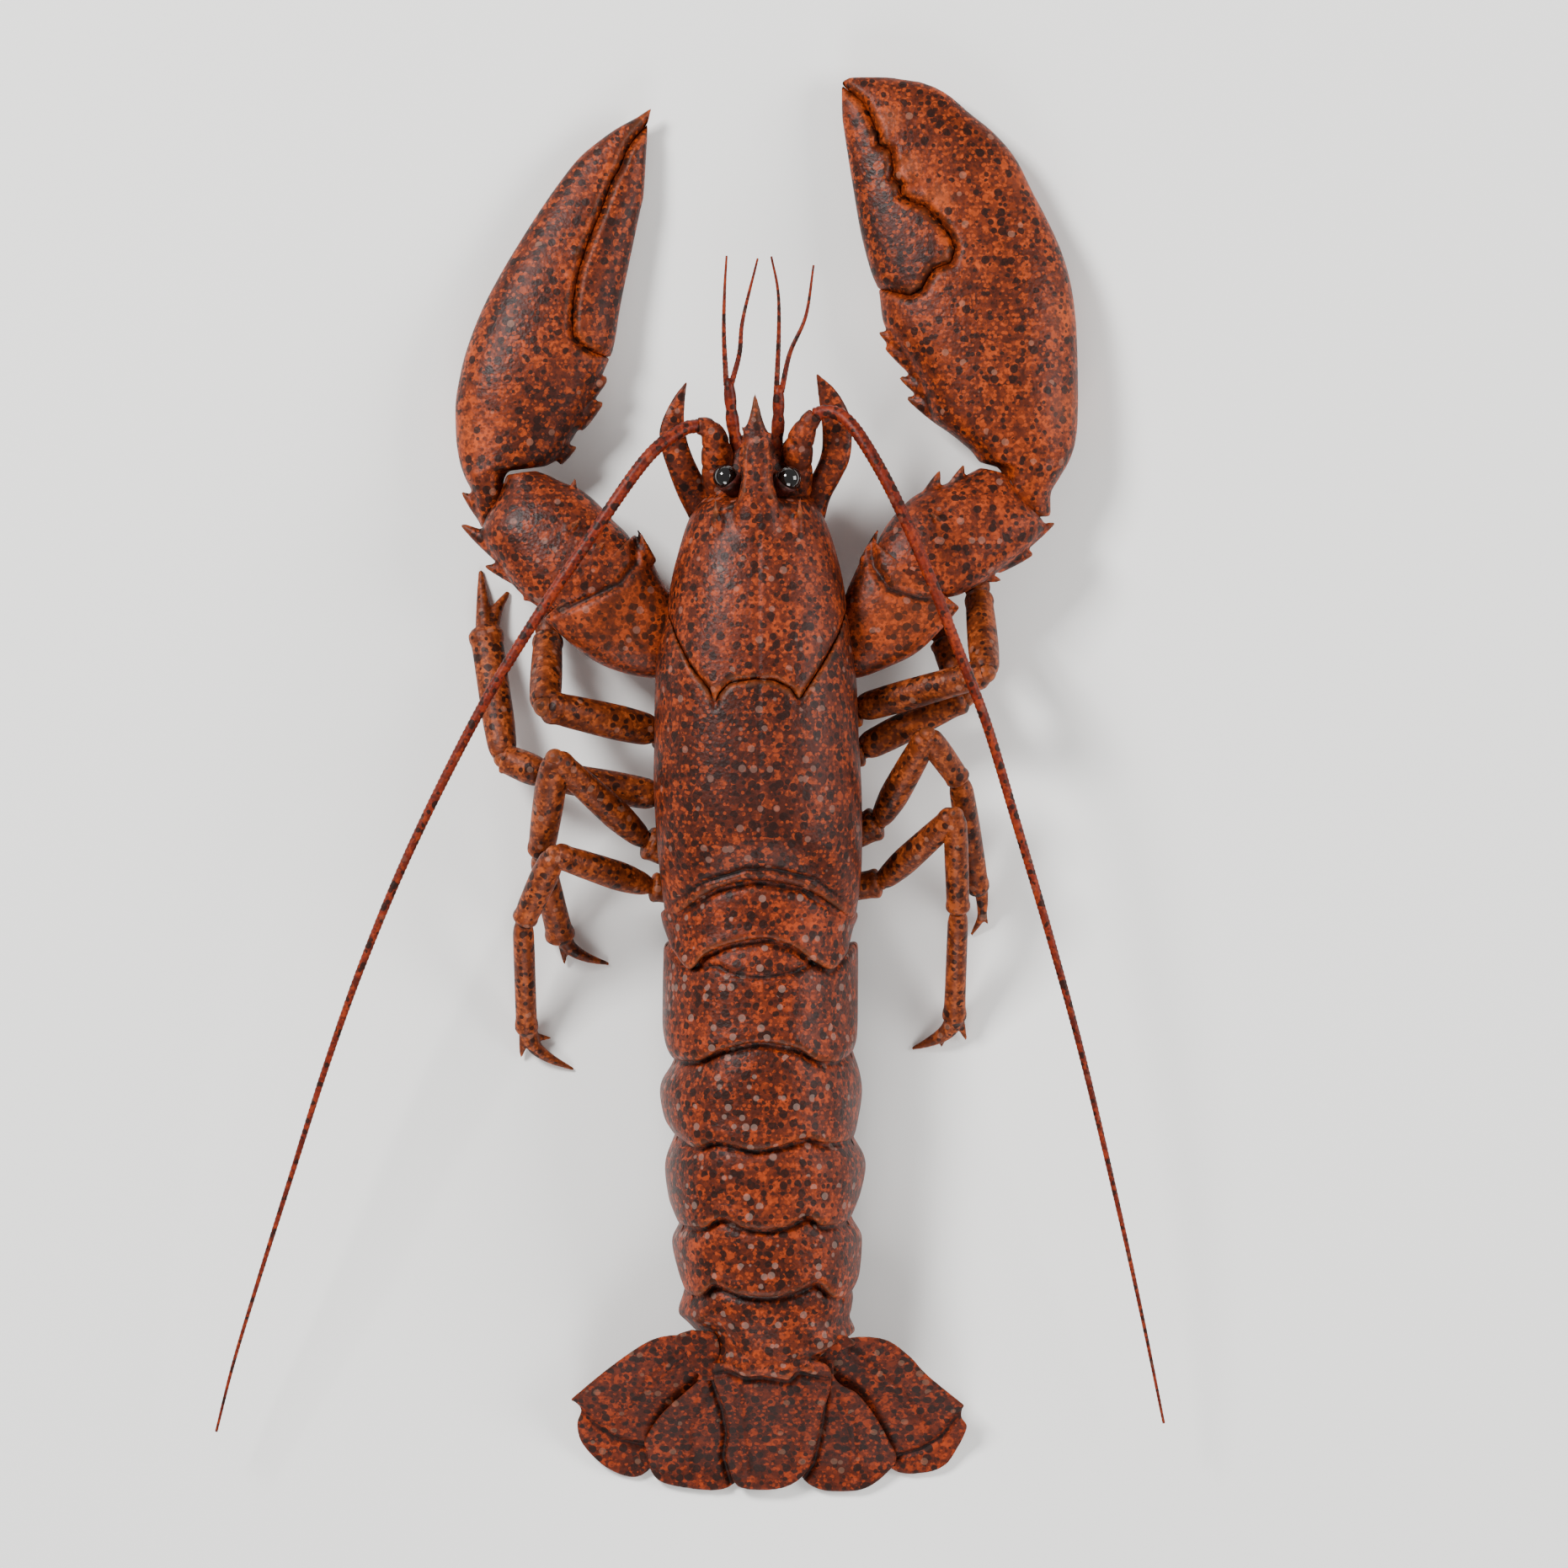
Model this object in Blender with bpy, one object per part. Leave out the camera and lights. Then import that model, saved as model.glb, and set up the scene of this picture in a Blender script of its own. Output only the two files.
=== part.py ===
"""A European lobster, life size, lying straight with its head towards +Y and its claws held forward.

Lengths below are millimetres, measured from the middle of the body and from the floor that the
animal rests on. The finished meshes are scaled to metres and moved so that the middle of their
whole box stands over the origin.
"""

import math

import bmesh
import bpy
from mathutils import Vector

MM = 0.001
BOX_MIDDLE = Vector((-20.05, 0.35, 0))  # the antennae reach further to the left, so it isn't over the body
GAP = 0.3  # between a piece and the piece that it grows from
UP = Vector((0, 0, 1))
CURVE_STEPS = 12

CARAPACE_HIND = -28.4
CARAPACE_SWEEP = -10.5  # how far the hind rim runs back at the sides
SHELL_SIDES = 24
CLAW_SIDES = 16
LEG_SIDES = 8
FEELER_SIDES = 6

SHELL = "#8A3D22"
SHELL_DARK = "#6E321C"
CLAW = "#A84821"
FINGER = "#64413C"
LEG = "#99593C"
FEELER = "#8A3A28"
EYE = "#120A08"

for old in list(bpy.data.objects):
    bpy.data.objects.remove(old, do_unlink=True)


def linear(hex_colour):
    """The linear red, green and blue of a colour written as on a screen."""
    parts = [int(hex_colour[i : i + 2], 16) / 255 for i in (1, 3, 5)]
    return [p / 12.92 if p <= 0.04045 else ((p + 0.055) / 1.055) ** 2.4 for p in parts]


def paint(obj, hex_colour, roughness=0.45):
    material = bpy.data.materials.new(obj.name + "_shell")
    material.use_nodes = True
    shader = material.node_tree.nodes["Principled BSDF"]
    shader.inputs["Base Color"].default_value = (*linear(hex_colour), 1)
    shader.inputs["Roughness"].default_value = roughness
    shader.inputs["Metallic"].default_value = 0.0
    obj.data.materials.clear()
    obj.data.materials.append(material)


def curve(points, count):
    """Evenly spaced points along a smooth curve through the points given."""
    points = [Vector(p) for p in points]
    ends = [points[0] * 2 - points[1]] + points + [points[-1] * 2 - points[-2]]
    dense = []
    for a, b, c, d in zip(ends, ends[1:], ends[2:], ends[3:]):
        for k in range(CURVE_STEPS):
            t = k / CURVE_STEPS
            bend = (a * 2 - b * 5 + c * 4 - d) * t**2
            twist = (b * 3 - a - c * 3 + d) * t**3
            dense.append((b * 2 + (c - a) * t + bend + twist) / 2)
    dense.append(points[-1])
    run = [0.0]
    for near, far in zip(dense, dense[1:]):
        run.append(run[-1] + (far - near).length)
    found, at = [], 0
    for n in range(count):
        want = run[-1] * n / (count - 1)
        while at < len(dense) - 2 and run[at + 1] < want:
            at += 1
        share = (want - run[at]) / max(run[at + 1] - run[at], 1e-9)
        found.append(dense[at].lerp(dense[at + 1], min(max(share, 0), 1)))
    return found


def read(table, at):
    """A value on the straight line between two rows of a table of (place, value)."""
    if at <= table[0][0]:
        return table[0][1]
    for (low, first), (high, second) in zip(table, table[1:]):
        if at <= high:
            share = (at - low) / (high - low)
            return first + (second - first) * share
    return table[-1][1]


def mesh_object(name, bm):
    bmesh.ops.recalc_face_normals(bm, faces=bm.faces)
    bmesh.ops.triangulate(bm, faces=bm.faces)
    mesh = bpy.data.meshes.new(name)
    bm.to_mesh(mesh)
    bm.free()
    obj = bpy.data.objects.new(name, mesh)
    bpy.context.scene.collection.objects.link(obj)
    return obj


def loft(name, rings, upright_ends=False):
    """A closed body through rings of equally many points.

    Upright ends are closed by a curtain of upright faces.
    """
    bm = bmesh.new()
    rows = [[bm.verts.new(point) for point in ring] for ring in rings]
    for near, far in zip(rows, rows[1:]):
        for k in range(len(near)):
            bm.faces.new((near[k - 1], near[k], far[k], far[k - 1]))
    for end in (rows[0], rows[-1]):
        if upright_ends:
            for k in range(len(end) // 2 - 1):
                bm.faces.new((end[k], end[k + 1], end[-2 - k], end[-1 - k]))
        else:
            bm.faces.new(end)
    return mesh_object(name, bm)


def ring(centre, across, half, up, down, sides, boxy=1.0):
    """One cross-section. A boxy value under 1 squares its corners. It never dips below the floor."""
    points = []
    for k in range(sides):
        turn = 2 * math.pi * (k + 0.5) / sides
        level, rise = math.cos(turn), math.sin(turn)
        reach = up if rise > 0 else down
        level = math.copysign(abs(level) ** boxy, level) * half
        rise = math.copysign(abs(rise) ** boxy, rise) * reach
        point = centre + across * level + UP * rise
        point.z = max(point.z, 0)
        points.append(point)
    return points


def between(name, left, right, heights, sides=CLAW_SIDES, boxy=0.8, stations=None):
    """A body between two edges seen from above. heights lists (share of the length, middle z, up, down)."""
    count = stations or max(len(left), len(right))
    left = curve([(*p, 0) for p in left], count)
    right = curve([(*p, 0) for p in right], count)
    rings = []
    for n, (a, b) in enumerate(zip(left, right)):
        share = n / (count - 1)
        middle, up, down = (read([(row[0], row[k]) for row in heights], share) for k in (1, 2, 3))
        centre = (a + b) / 2 + UP * middle
        rings.append(ring(centre, (b - a).normalized(), (b - a).length / 2, up, down, sides, boxy))
    return loft(name, rings)


def tube(name, points, radii, sides=LEG_SIDES, first_cut=None, last_cut=None):
    """A round body along points. A cut is the plane (point, normal) that an end ring lies on."""
    rings = []
    for n, (point, radius) in enumerate(zip(points, radii)):
        before = points[max(n - 1, 0)]
        after = points[min(n + 1, len(points) - 1)]
        along = (after - before).normalized()
        side = along.cross(UP)
        side = side.normalized() if side.length > 0.05 else Vector((1, 0, 0))
        other = along.cross(side).normalized()
        cut = first_cut if n == 0 else last_cut if n == len(points) - 1 else None
        found = []
        for k in range(sides):
            turn = 2 * math.pi * (k + 0.5) / sides
            place = point + side * (math.cos(turn) * radius) + other * (math.sin(turn) * radius)
            if cut:
                origin, normal = cut
                place = place + along * ((origin - place).dot(normal) / along.dot(normal))
            else:
                place.z = max(place.z, 0)
            found.append(place)
        rings.append(found)
    return loft(name, rings)


def spine(foot, tip, radius, sides=6):
    """A tapered spine with its foot sunk into what carries it."""
    foot, tip = Vector(foot), Vector(tip)
    middle = foot.lerp(tip, 0.5)
    return tube("spine", [foot, middle, tip], [radius, radius * 0.62, 0.18], sides)


def largest_surface(obj):
    """Keeps only the biggest closed surface of a mesh."""
    bm = bmesh.new()
    bm.from_mesh(obj.data)
    bmesh.ops.remove_doubles(bm, verts=bm.verts, dist=1e-4)
    unseen, best, best_volume = set(bm.faces), [], -1.0
    while unseen:
        stack, patch = [unseen.pop()], []
        while stack:
            face = stack.pop()
            patch.append(face)
            for edge in face.edges:
                for other in edge.link_faces:
                    if other in unseen:
                        unseen.remove(other)
                        stack.append(other)
        volume = 0.0
        for face in patch:
            corners = [loop.vert.co for loop in face.loops]
            for b, c in zip(corners[1:], corners[2:]):
                volume += corners[0].dot(b.cross(c)) / 6
        if abs(volume) > best_volume:
            best, best_volume = patch, abs(volume)
    keep = set(best)
    bmesh.ops.delete(bm, geom=[f for f in bm.faces if f not in keep], context="FACES")
    bmesh.ops.delete(bm, geom=[v for v in bm.verts if not v.link_faces], context="VERTS")
    bmesh.ops.triangulate(bm, faces=bm.faces)
    bm.to_mesh(obj.data)
    bm.free()


def apply_modifiers(obj):
    bpy.context.view_layer.update()
    graph = bpy.context.evaluated_depsgraph_get()
    baked = bpy.data.meshes.new_from_object(obj.evaluated_get(graph))
    obj.modifiers.clear()
    obj.data = baked


def join(obj, extras):
    """Fuses closed pieces into a node by one union."""
    group = bpy.data.collections.new("extras")
    bpy.context.scene.collection.children.link(group)
    for extra in extras:
        bpy.context.scene.collection.objects.unlink(extra)
        group.objects.link(extra)
    union = obj.modifiers.new("union", "BOOLEAN")
    union.operation = "UNION"
    union.operand_type = "COLLECTION"
    union.collection = group
    apply_modifiers(obj)
    for extra in extras:
        bpy.data.objects.remove(extra, do_unlink=True)
    bpy.data.collections.remove(group)
    largest_surface(obj)
    return obj


def combine(obj, cutter, operation):
    cut = obj.modifiers.new("cut", "BOOLEAN")
    cut.operation = operation
    cut.object = cutter
    apply_modifiers(obj)
    largest_surface(obj)


def trim(obj, *neighbours):
    """Cuts a node back to the gap that it keeps from what it grows from."""
    for neighbour in neighbours:
        bm = bmesh.new()
        bm.from_mesh(neighbour.data)
        bm.normal_update()
        moves = [(v, v.normal * (GAP * min(v.calc_shell_factor(), 2.0))) for v in bm.verts]
        for vert, move in moves:
            vert.co += move
        cutter = mesh_object("cutter", bm)
        combine(obj, cutter, "DIFFERENCE")
        bpy.data.objects.remove(cutter, do_unlink=True)


def copy_of(obj, name):
    twin = obj.copy()
    twin.data = obj.data.copy()
    twin.name = name
    bpy.context.scene.collection.objects.link(twin)
    return twin


def offset_line(points, distance):
    """A line in the level plane, moved to its left by a distance, with its corners kept sharp."""
    moved = []
    for n, point in enumerate(points):
        into = (point - points[max(n - 1, 0)]).normalized() if n else (points[1] - point).normalized()
        out = (points[n + 1] - point).normalized() if n < len(points) - 1 else into
        left = (Vector((-into.y, into.x, 0)) + Vector((-out.y, out.x, 0))).normalized()
        reach = left.dot(Vector((-into.y, into.x, 0)))
        moved.append(point + left * (distance / max(reach, 0.3)))
    return moved


BLOCK_DEPTH = 10.0
BLOCK_HEIGHT = 110.0


def prism(line, outside):
    """An upright block whose one side follows a line and whose other corners are given."""
    bm = bmesh.new()
    face = bm.faces.new([bm.verts.new((p[0], p[1], -BLOCK_DEPTH)) for p in [*line, *outside]])
    made = bmesh.ops.extrude_face_region(bm, geom=[face])
    lifted = [v for v in made["geom"] if isinstance(v, bmesh.types.BMVert)]
    bmesh.ops.translate(bm, verts=lifted, vec=UP * BLOCK_HEIGHT)
    return mesh_object("block", bm)


def part_by(whole, name, line, outside):
    """Cuts a body along a line: what the block holds becomes a new node, the rest keeps a gap to it."""
    inner = prism(offset_line(line, GAP / 2), outside)
    outer = prism(offset_line(line, -GAP / 2), outside)
    piece = copy_of(whole, name)
    combine(piece, inner, "INTERSECT")
    combine(whole, outer, "DIFFERENCE")
    for block in (inner, outer):
        bpy.data.objects.remove(block, do_unlink=True)
    return piece


# Carapace: one shell over head and thorax, parted at the neck groove.
# Rows: y, middle x, half width, top z, side z (the widest level), bottom z.
CARAPACE = [
    (104.0, 0.0, 5.5, 40.5, 36.0, 31.0),
    (98.0, 0.0, 10.5, 42.0, 34.0, 27.0),
    (87.5, 0.0, 14.5, 43.0, 33.0, 22.0),
    (86.0, 0.0, 15.5, 44.0, 32.0, 21.0),
    (83.5, -0.2, 17.5, 51.5, 32.0, 20.0),
    (79.0, -0.3, 20.2, 53.0, 32.0, 19.0),
    (70.6, -0.2, 23.0, 55.5, 32.0, 17.0),
    (60.0, -0.2, 25.6, 57.5, 31.5, 14.5),
    (50.0, -0.2, 26.9, 59.0, 31.0, 12.5),
    (40.0, -0.8, 29.0, 60.0, 31.0, 11.0),
    (30.0, -0.6, 30.0, 60.8, 31.0, 10.0),
    (15.0, -0.4, 30.4, 61.6, 31.0, 9.5),
    (0.0, 0.0, 30.9, 62.0, 31.0, 9.0),
    (-14.0, 0.6, 30.4, 61.0, 30.0, 9.5),
    (-22.0, 0.9, 29.4, 59.0, 29.0, 10.5),
    (CARAPACE_HIND, 0.8, 28.0, 56.5, 28.0, 12.0),
]


def shell_ring(y, middle_x, half, top, side_z, bottom, sweep):
    centre = Vector((middle_x, y, side_z))
    points = ring(centre, Vector((1, 0, 0)), half, top - side_z, side_z - bottom, SHELL_SIDES, 0.82)
    for point in points:
        point.y += sweep * ((point.x - middle_x) / half) ** 2
    return points


def carapace():
    rings = []
    for y, middle_x, half, top, side_z, bottom in CARAPACE:
        sweep = CARAPACE_SWEEP * min(max((12 - y) / 40, 0), 1) ** 1.5
        rings.append(shell_ring(y, middle_x, half, top, side_z, bottom, sweep))
    return loft("thorax", rings, upright_ends=True)


NECK_GROOVE = [
    (34, 60), (26.2, 52.5), (23.8, 45), (19, 36), (14.5, 29), (12.2, 25), (10, 28.6), (5, 31.3),
    (-1, 31.6), (-8.3, 30.6), (-11.4, 27.2), (-12.5, 23.4), (-14, 28.4), (-19.5, 35.2), (-23.5, 43),
    (-26.6, 51.5), (-34, 60),
]


ROSTRUM_SPINES = [
    (-2.6, 101, -5.2, 107.2), (2.4, 99, 4.6, 105.6), (-3.4, 92, -6.4, 98.4), (3.2, 91.5, 5.9, 97.6),
]


def head_and_thorax():
    thorax = carapace()
    line = [Vector((x, y, 0)) for x, y in NECK_GROOVE]
    head = part_by(thorax, "head", line[::-1], [(60, 140), (-60, 140)])
    rostrum = between(
        "rostrum",
        [(-8, 70), (-6.5, 82), (-4.6, 92), (-4.0, 99), (-3.3, 106), (-1.7, 110), (-1.2, 116)],
        [(8, 70), (6.5, 82), (4.2, 92), (3.8, 98), (2.9, 104), (0.9, 109), (-0.8, 116)],
        [(0, 51, 4.0, 4), (0.3, 51, 4.0, 4), (0.7, 50.5, 2.6, 4), (1, 52.5, 0.6, 0.6)],
        sides=8,
    )
    side_spines = []
    for x, y, tip_x, tip_y in ROSTRUM_SPINES:
        side_spines.append(spine((x, y, 50.5), (tip_x, tip_y, 51.5), 1.3))
    for side in (-1, 1):
        side_spines.append(spine((side * 12, 74, 51), (side * 12.6, 86, 52.5), 1.7))
    join(head, [rostrum, *side_spines])
    paint(head, SHELL)
    paint(thorax, SHELL_DARK)
    return head, thorax


# Head appendages, each set on the front of the head.
EYE_RADIUS = 3.75
EYE_PLACES = {"left": (-9.6, 91.4, 46.5), "right": (9.2, 90.9, 46.5)}
ANTENNA_BASES = {
    "left": [
        (-11, 84, 33), (-11.6, 92, 37), (-12, 98, 40), (-13, 103.4, 42.5), (-15.2, 106, 44.3),
        (-17.8, 106.4, 45),
    ],
    "right": [
        (10.5, 84, 33), (11.2, 92, 37), (11.4, 97.5, 40), (12.9, 103, 42.5), (15, 107.2, 44.3),
        (17, 109.8, 45),
    ],
}
ANTENNA_BASE_RADII = (5.2, 5.2, 5.1, 4.6, 3.9, 3.2, 2.6)
ANTENNAE = {
    "left": [
        (-17.8, 106.4, 45), (-22.5, 105, 48), (-33, 96.4, 52), (-49.5, 73, 54), (-66.3, 48, 53),
        (-82.4, 21.4, 51), (-101.6, -16.6, 47), (-116, -50.5, 43), (-127.4, -82, 38),
        (-138.5, -116.6, 33),
        (-148.8, -149, 27), (-155.8, -172, 22), (-160.8, -191.6, 18),
    ],
    "right": [
        (17, 109.8, 45), (20.5, 110.6, 46.5), (25.2, 109, 48), (31, 102, 51), (40, 86, 54),
        (50, 63.4, 55),
        (58.8, 41, 55), (67.5, 18.4, 53), (76.2, -10.4, 50), (86.2, -44.1, 45), (95.8, -79.1, 39),
        (106, -121.6, 32), (113.8, -156.6, 25), (120.5, -189.1, 18),
    ],
}
ANTENNA_ROOT_RADIUS = 2.2
ANTENNA_TIP_RADIUS = 0.45
ANTENNA_RINGS = 44
SCALES = {
    "left": (
        [(-20.2, 79), (-23.8, 86.2), (-26.4, 93), (-28.4, 99), (-29.2, 104.6), (-27.6, 110),
         (-24.6, 115.5),
         (-21.3, 119.6)],
        [(-12, 80), (-14.5, 88), (-17.4, 93.6), (-19.4, 98), (-21, 103), (-21.7, 108.5), (-21.5, 114),
         (-20.9, 119.4)],
    ),
    "right": (
        [(19.8, 79), (21.4, 85), (24.6, 91), (27.4, 97.4), (27.8, 107), (25.8, 113), (22.4, 118),
         (17.5, 122.1)],
        [(12, 80), (14, 88), (17.2, 94.4), (18.8, 99), (19, 105), (18.4, 111), (17.8, 116),
         (17.2, 121.8)],
    ),
}
SCALE_HEIGHTS = [(0, 31, 5.0, 5.0), (0.25, 33.5, 3.2, 3.2), (0.55, 36, 1.6, 1.6), (1, 38, 0.6, 0.6)]
ANTENNULES = {
    "left": (
        [(-5.2, 98, 38), (-7.2, 106, 39.5), (-8.7, 120.6, 41)],
        [(-9.3, 118.5, 41), (-10, 133.4, 43), (-9.8, 146, 45), (-9.2, 156.6, 47)],
        [(-7.9, 118.5, 41), (-5.4, 128, 42), (-4.4, 138, 43), (0, 155.9, 45)],
    ),
    "right": (
        [(4.6, 97, 38), (5.9, 105, 39.5), (6.2, 118.6, 41)],
        [(5.5, 116.5, 41), (6.2, 133.4, 43), (6, 146, 45), (4, 156.4, 47)],
        [(7, 116.5, 41), (9.5, 128, 42), (14.2, 139, 43), (16.5, 153.9, 45)],
    ),
}


JAW_LEG = [(7.5, 56, 15), (9, 72, 13.5), (8.5, 88, 16), (5.2, 100, 25)]
JAW_LEG_RADII = (4.0, 4.2, 4.0, 3.6, 3.4, 3.0, 2.2, 0.9)
EYE_STALK = Vector((4.5, 5.5, 3.5))  # from the cornea inwards, back and down


def head_appendages(head, thorax):
    for name, place in EYE_PLACES.items():
        side = math.copysign(1, place[0])
        centre = Vector(place)
        bm = bmesh.new()
        bmesh.ops.create_uvsphere(bm, u_segments=14, v_segments=9, radius=EYE_RADIUS)
        bmesh.ops.translate(bm, verts=bm.verts, vec=centre)
        eye = mesh_object("eye_" + name, bm)
        stalk_foot = centre - Vector((side * EYE_STALK.x, EYE_STALK.y, EYE_STALK.z))
        stalk = tube("stalk", [centre, stalk_foot], [3.0, 2.6])
        join(eye, [stalk])
        trim(eye, head)
        paint(eye, EYE, 0.15)

        base_course = curve(ANTENNA_BASES[name], len(ANTENNA_BASE_RADII))
        base = tube("antenna_base_" + name, base_course, ANTENNA_BASE_RADII, 10)
        trim(base, head)
        trim(eye, base)
        paint(base, SHELL)
        course = curve(ANTENNAE[name], ANTENNA_RINGS)
        radii = []
        for n in range(ANTENNA_RINGS):
            share = n / (ANTENNA_RINGS - 1)
            radii.append(ANTENNA_ROOT_RADIUS + (ANTENNA_TIP_RADIUS - ANTENNA_ROOT_RADIUS) * share**1.1)
        antenna = tube("antenna_" + name, course, radii, FEELER_SIDES)
        trim(antenna, base, head)
        paint(antenna, FEELER, 0.5)

        outer, inner = SCALES[name]
        scale = between("antennal_scale_" + name, outer, inner, SCALE_HEIGHTS, 8)
        trim(scale, head, base)
        paint(scale, SHELL)

        stem, first, second = ANTENNULES[name]
        antennule = tube("antennule_" + name, curve(stem, 5), [2.1, 2.2, 2.0, 1.9, 1.5], 8)
        feelers = []
        for points in (first, second):
            feelers.append(tube("feeler", curve(points, 9), [0.95 - 0.075 * n for n in range(9)], 5))
        join(antennule, feelers)
        trim(antennule, head)
        paint(antennule, FEELER, 0.5)

        jaw_points = curve([(side * x, y, z) for x, y, z in JAW_LEG], len(JAW_LEG_RADII))
        jaw = tube("maxilliped_" + name, jaw_points, JAW_LEG_RADII)
        trim(jaw, head, thorax)
        paint(jaw, LEG)


# Claws: each is one body between its two edges seen from above, parted into palm and finger.
CUTTER_OUTER = [
    (201.8, -32.0), (199, -36), (196, -41.6), (191.6, -47.8), (187, -53.2), (180, -58.8), (171.4, -64.8),
    (162, -70.8), (153, -76.2), (144, -81), (134, -85.2), (124, -88.2), (112, -90), (104, -89.8),
    (97, -88.8),
    (92, -87.2), (86.5, -84.6), (82.5, -84), (76.6, -82.2),
]
CUTTER_INNER = [
    (201.8, -31.5), (197.4, -32.6), (190.6, -33), (182, -33.5), (176, -33.9), (170, -35.2), (156.6, -38),
    (143, -40.8), (130, -43), (125, -45.0), (118, -48.2), (110, -51.4), (103, -55.2), (98, -58.8),
    (95.4, -62),
    (94.4, -66), (93.6, -74.2), (90, -75.6), (84, -75.2), (79, -77.4), (76.6, -80),
]
CUTTER_SPLIT = [
    (-28, 200), (-32.6, 197.2), (-38.2, 190.6), (-41, 184), (-43.6, 179.4), (-46.8, 170.6),
    (-49.6, 163.8), (-52.4, 155.8), (-54, 149), (-54.9, 141), (-54.6, 133.6), (-50, 129.4), (-44, 127.4),
    (-36, 126.6),
]
CRUSHER_OUTER = [
    (210.9, 39), (210.2, 45.6), (207, 54.5), (200, 63.2), (194, 70.5), (186.4, 76.8), (177, 81.5),
    (168, 86.2),
    (159.6, 90), (151.6, 92.5), (143.4, 94), (133.6, 94.8), (115.4, 95.2), (108, 95), (101.6, 94.2),
    (96.6, 92.5),
    (91.4, 89.5), (86.4, 86.9), (79.6, 87),
]
CRUSHER_INNER = [
    (210.9, 27), (209.6, 24.7), (200, 24.9), (193, 25.8), (184, 27.2), (176, 28.5), (167, 30),
    (159, 31.8),
    (151.6, 34), (147, 35.9), (139, 36.9), (133, 38.6), (127, 42), (121, 45.4), (115, 48.2), (109, 51.2),
    (104, 58), (99, 63.8), (95.6, 66.4), (94.8, 71.2), (91, 73.1), (87, 73.3), (82.6, 75.4), (80.2, 79),
    (79.6, 82),
]
CRUSHER_SPLIT = [
    (20, 211), (25.2, 208.4), (31.5, 203), (34, 198), (35.8, 193.4), (36, 190.6), (39.6, 188.8),
    (40.4, 185),
    (40, 181), (42.4, 178.4), (42.6, 175.4), (46, 173.4), (50, 172), (54.2, 167.4), (57.2, 163.2),
    (58.5, 159.4),
    (57.3, 155.2), (52.5, 153.6), (50.5, 151), (48.6, 147.4), (45.2, 145.5), (41.5, 146.4), (36.8, 147.6),
    (28, 147.8),
]
CLAW_FLOOR_DIP = 0.7  # how far the rounded belly would sink if it weren't flattened where it rests
# Rows: y, middle z, height above it, depth below it.
CUTTER_HEIGHTS = [
    (76.6, 16, 4, 4), (86, 15.5, 7, 7), (94, 14.5, 8.5, 9), (106, 12.2, 10.6, 12.2 + CLAW_FLOOR_DIP),
    (122, 11.4, 11.4, 11.4 + CLAW_FLOOR_DIP), (146, 10, 9.6, 10 + CLAW_FLOOR_DIP * 0.4),
    (176, 8.4, 6.2, 6),
    (196, 7.4, 3.2, 3.0), (201.6, 7, 0.9, 0.9),
]
CRUSHER_HEIGHTS = [
    (80, 17, 5, 5), (88, 16.5, 8, 8), (95, 16, 9.5, 10), (107, 14.6, 13, 14.6 + CLAW_FLOOR_DIP),
    (124, 13.8, 14.2, 13.8 + CLAW_FLOOR_DIP), (150, 12.6, 13, 12.6 + CLAW_FLOOR_DIP * 0.5),
    (179, 11, 9.4, 9.4),
    (199, 10, 6, 6), (208, 9.4, 3.4, 3.4), (210.9, 9.2, 1.0, 1.0),
]
CUTTER_STATIONS = [
    201.6, 199.5, 197, 193, 188, 182, 176, 169, 162, 154, 146, 138, 130, 122, 114, 106, 100, 95.6,
    94.4, 93.4,
    90, 86, 81, 76.8,
]
CRUSHER_STATIONS = [
    210.9, 210, 208, 204, 199, 193, 186, 179, 172, 165, 158, 151, 144, 136, 128, 120, 113, 107, 101,
    96, 95, 93.4,
    89, 84, 80,
]
CUTTER_SPINES = [
    ((-51, 120, 13), (-44.4, 124.4, 14), 2.2), ((-53, 112, 13), (-45.8, 114.8, 14), 2.2),
    ((-58, 101, 14), (-53.8, 102.8, 15), 1.8), ((-82, 84, 16), (-87.0, 86.9, 16), 2.0),
]
CRUSHER_SPINES = [
    ((44, 127, 16), (38.0, 131.6, 17), 2.2), ((47, 119, 16), (43.2, 121.4, 17), 2.0),
    ((50, 112, 16), (45.2, 115.6, 17), 2.0),
]


def claw(name, outer, inner, heights, stations):
    rings = []
    for y in stations:
        first, second = read(outer[::-1], y), read(inner[::-1], y)
        middle, up, down = (read([(row[0], row[k]) for row in heights], y) for k in (1, 2, 3))
        centre = Vector(((first + second) / 2, y, middle))
        rings.append(ring(centre, Vector((1, 0, 0)), abs(second - first) / 2, up, down, CLAW_SIDES, 0.9))
    return loft(name, rings)


def claws():
    cutter = claw("claw_palm_left", CUTTER_OUTER, CUTTER_INNER, CUTTER_HEIGHTS, CUTTER_STATIONS)
    split = curve([(x, y, 0) for x, y in CUTTER_SPLIT], 40)
    finger = part_by(cutter, "claw_finger_left", split, [(-15, 126.6), (-15, 200)])
    join(cutter, [spine(*row) for row in CUTTER_SPINES])

    crusher = claw("claw_palm_right", CRUSHER_OUTER, CRUSHER_INNER, CRUSHER_HEIGHTS, CRUSHER_STATIONS)
    split = [Vector((x, y, 0)) for x, y in CRUSHER_SPLIT]
    crush_finger = part_by(crusher, "claw_finger_right", split[::-1], [(10, 211), (10, 147.8)])
    join(crusher, [spine(*row) for row in CRUSHER_SPINES])

    for palm in (cutter, crusher):
        paint(palm, CLAW)
    for piece in (finger, crush_finger):
        paint(piece, FINGER)
    return cutter, crusher


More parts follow.
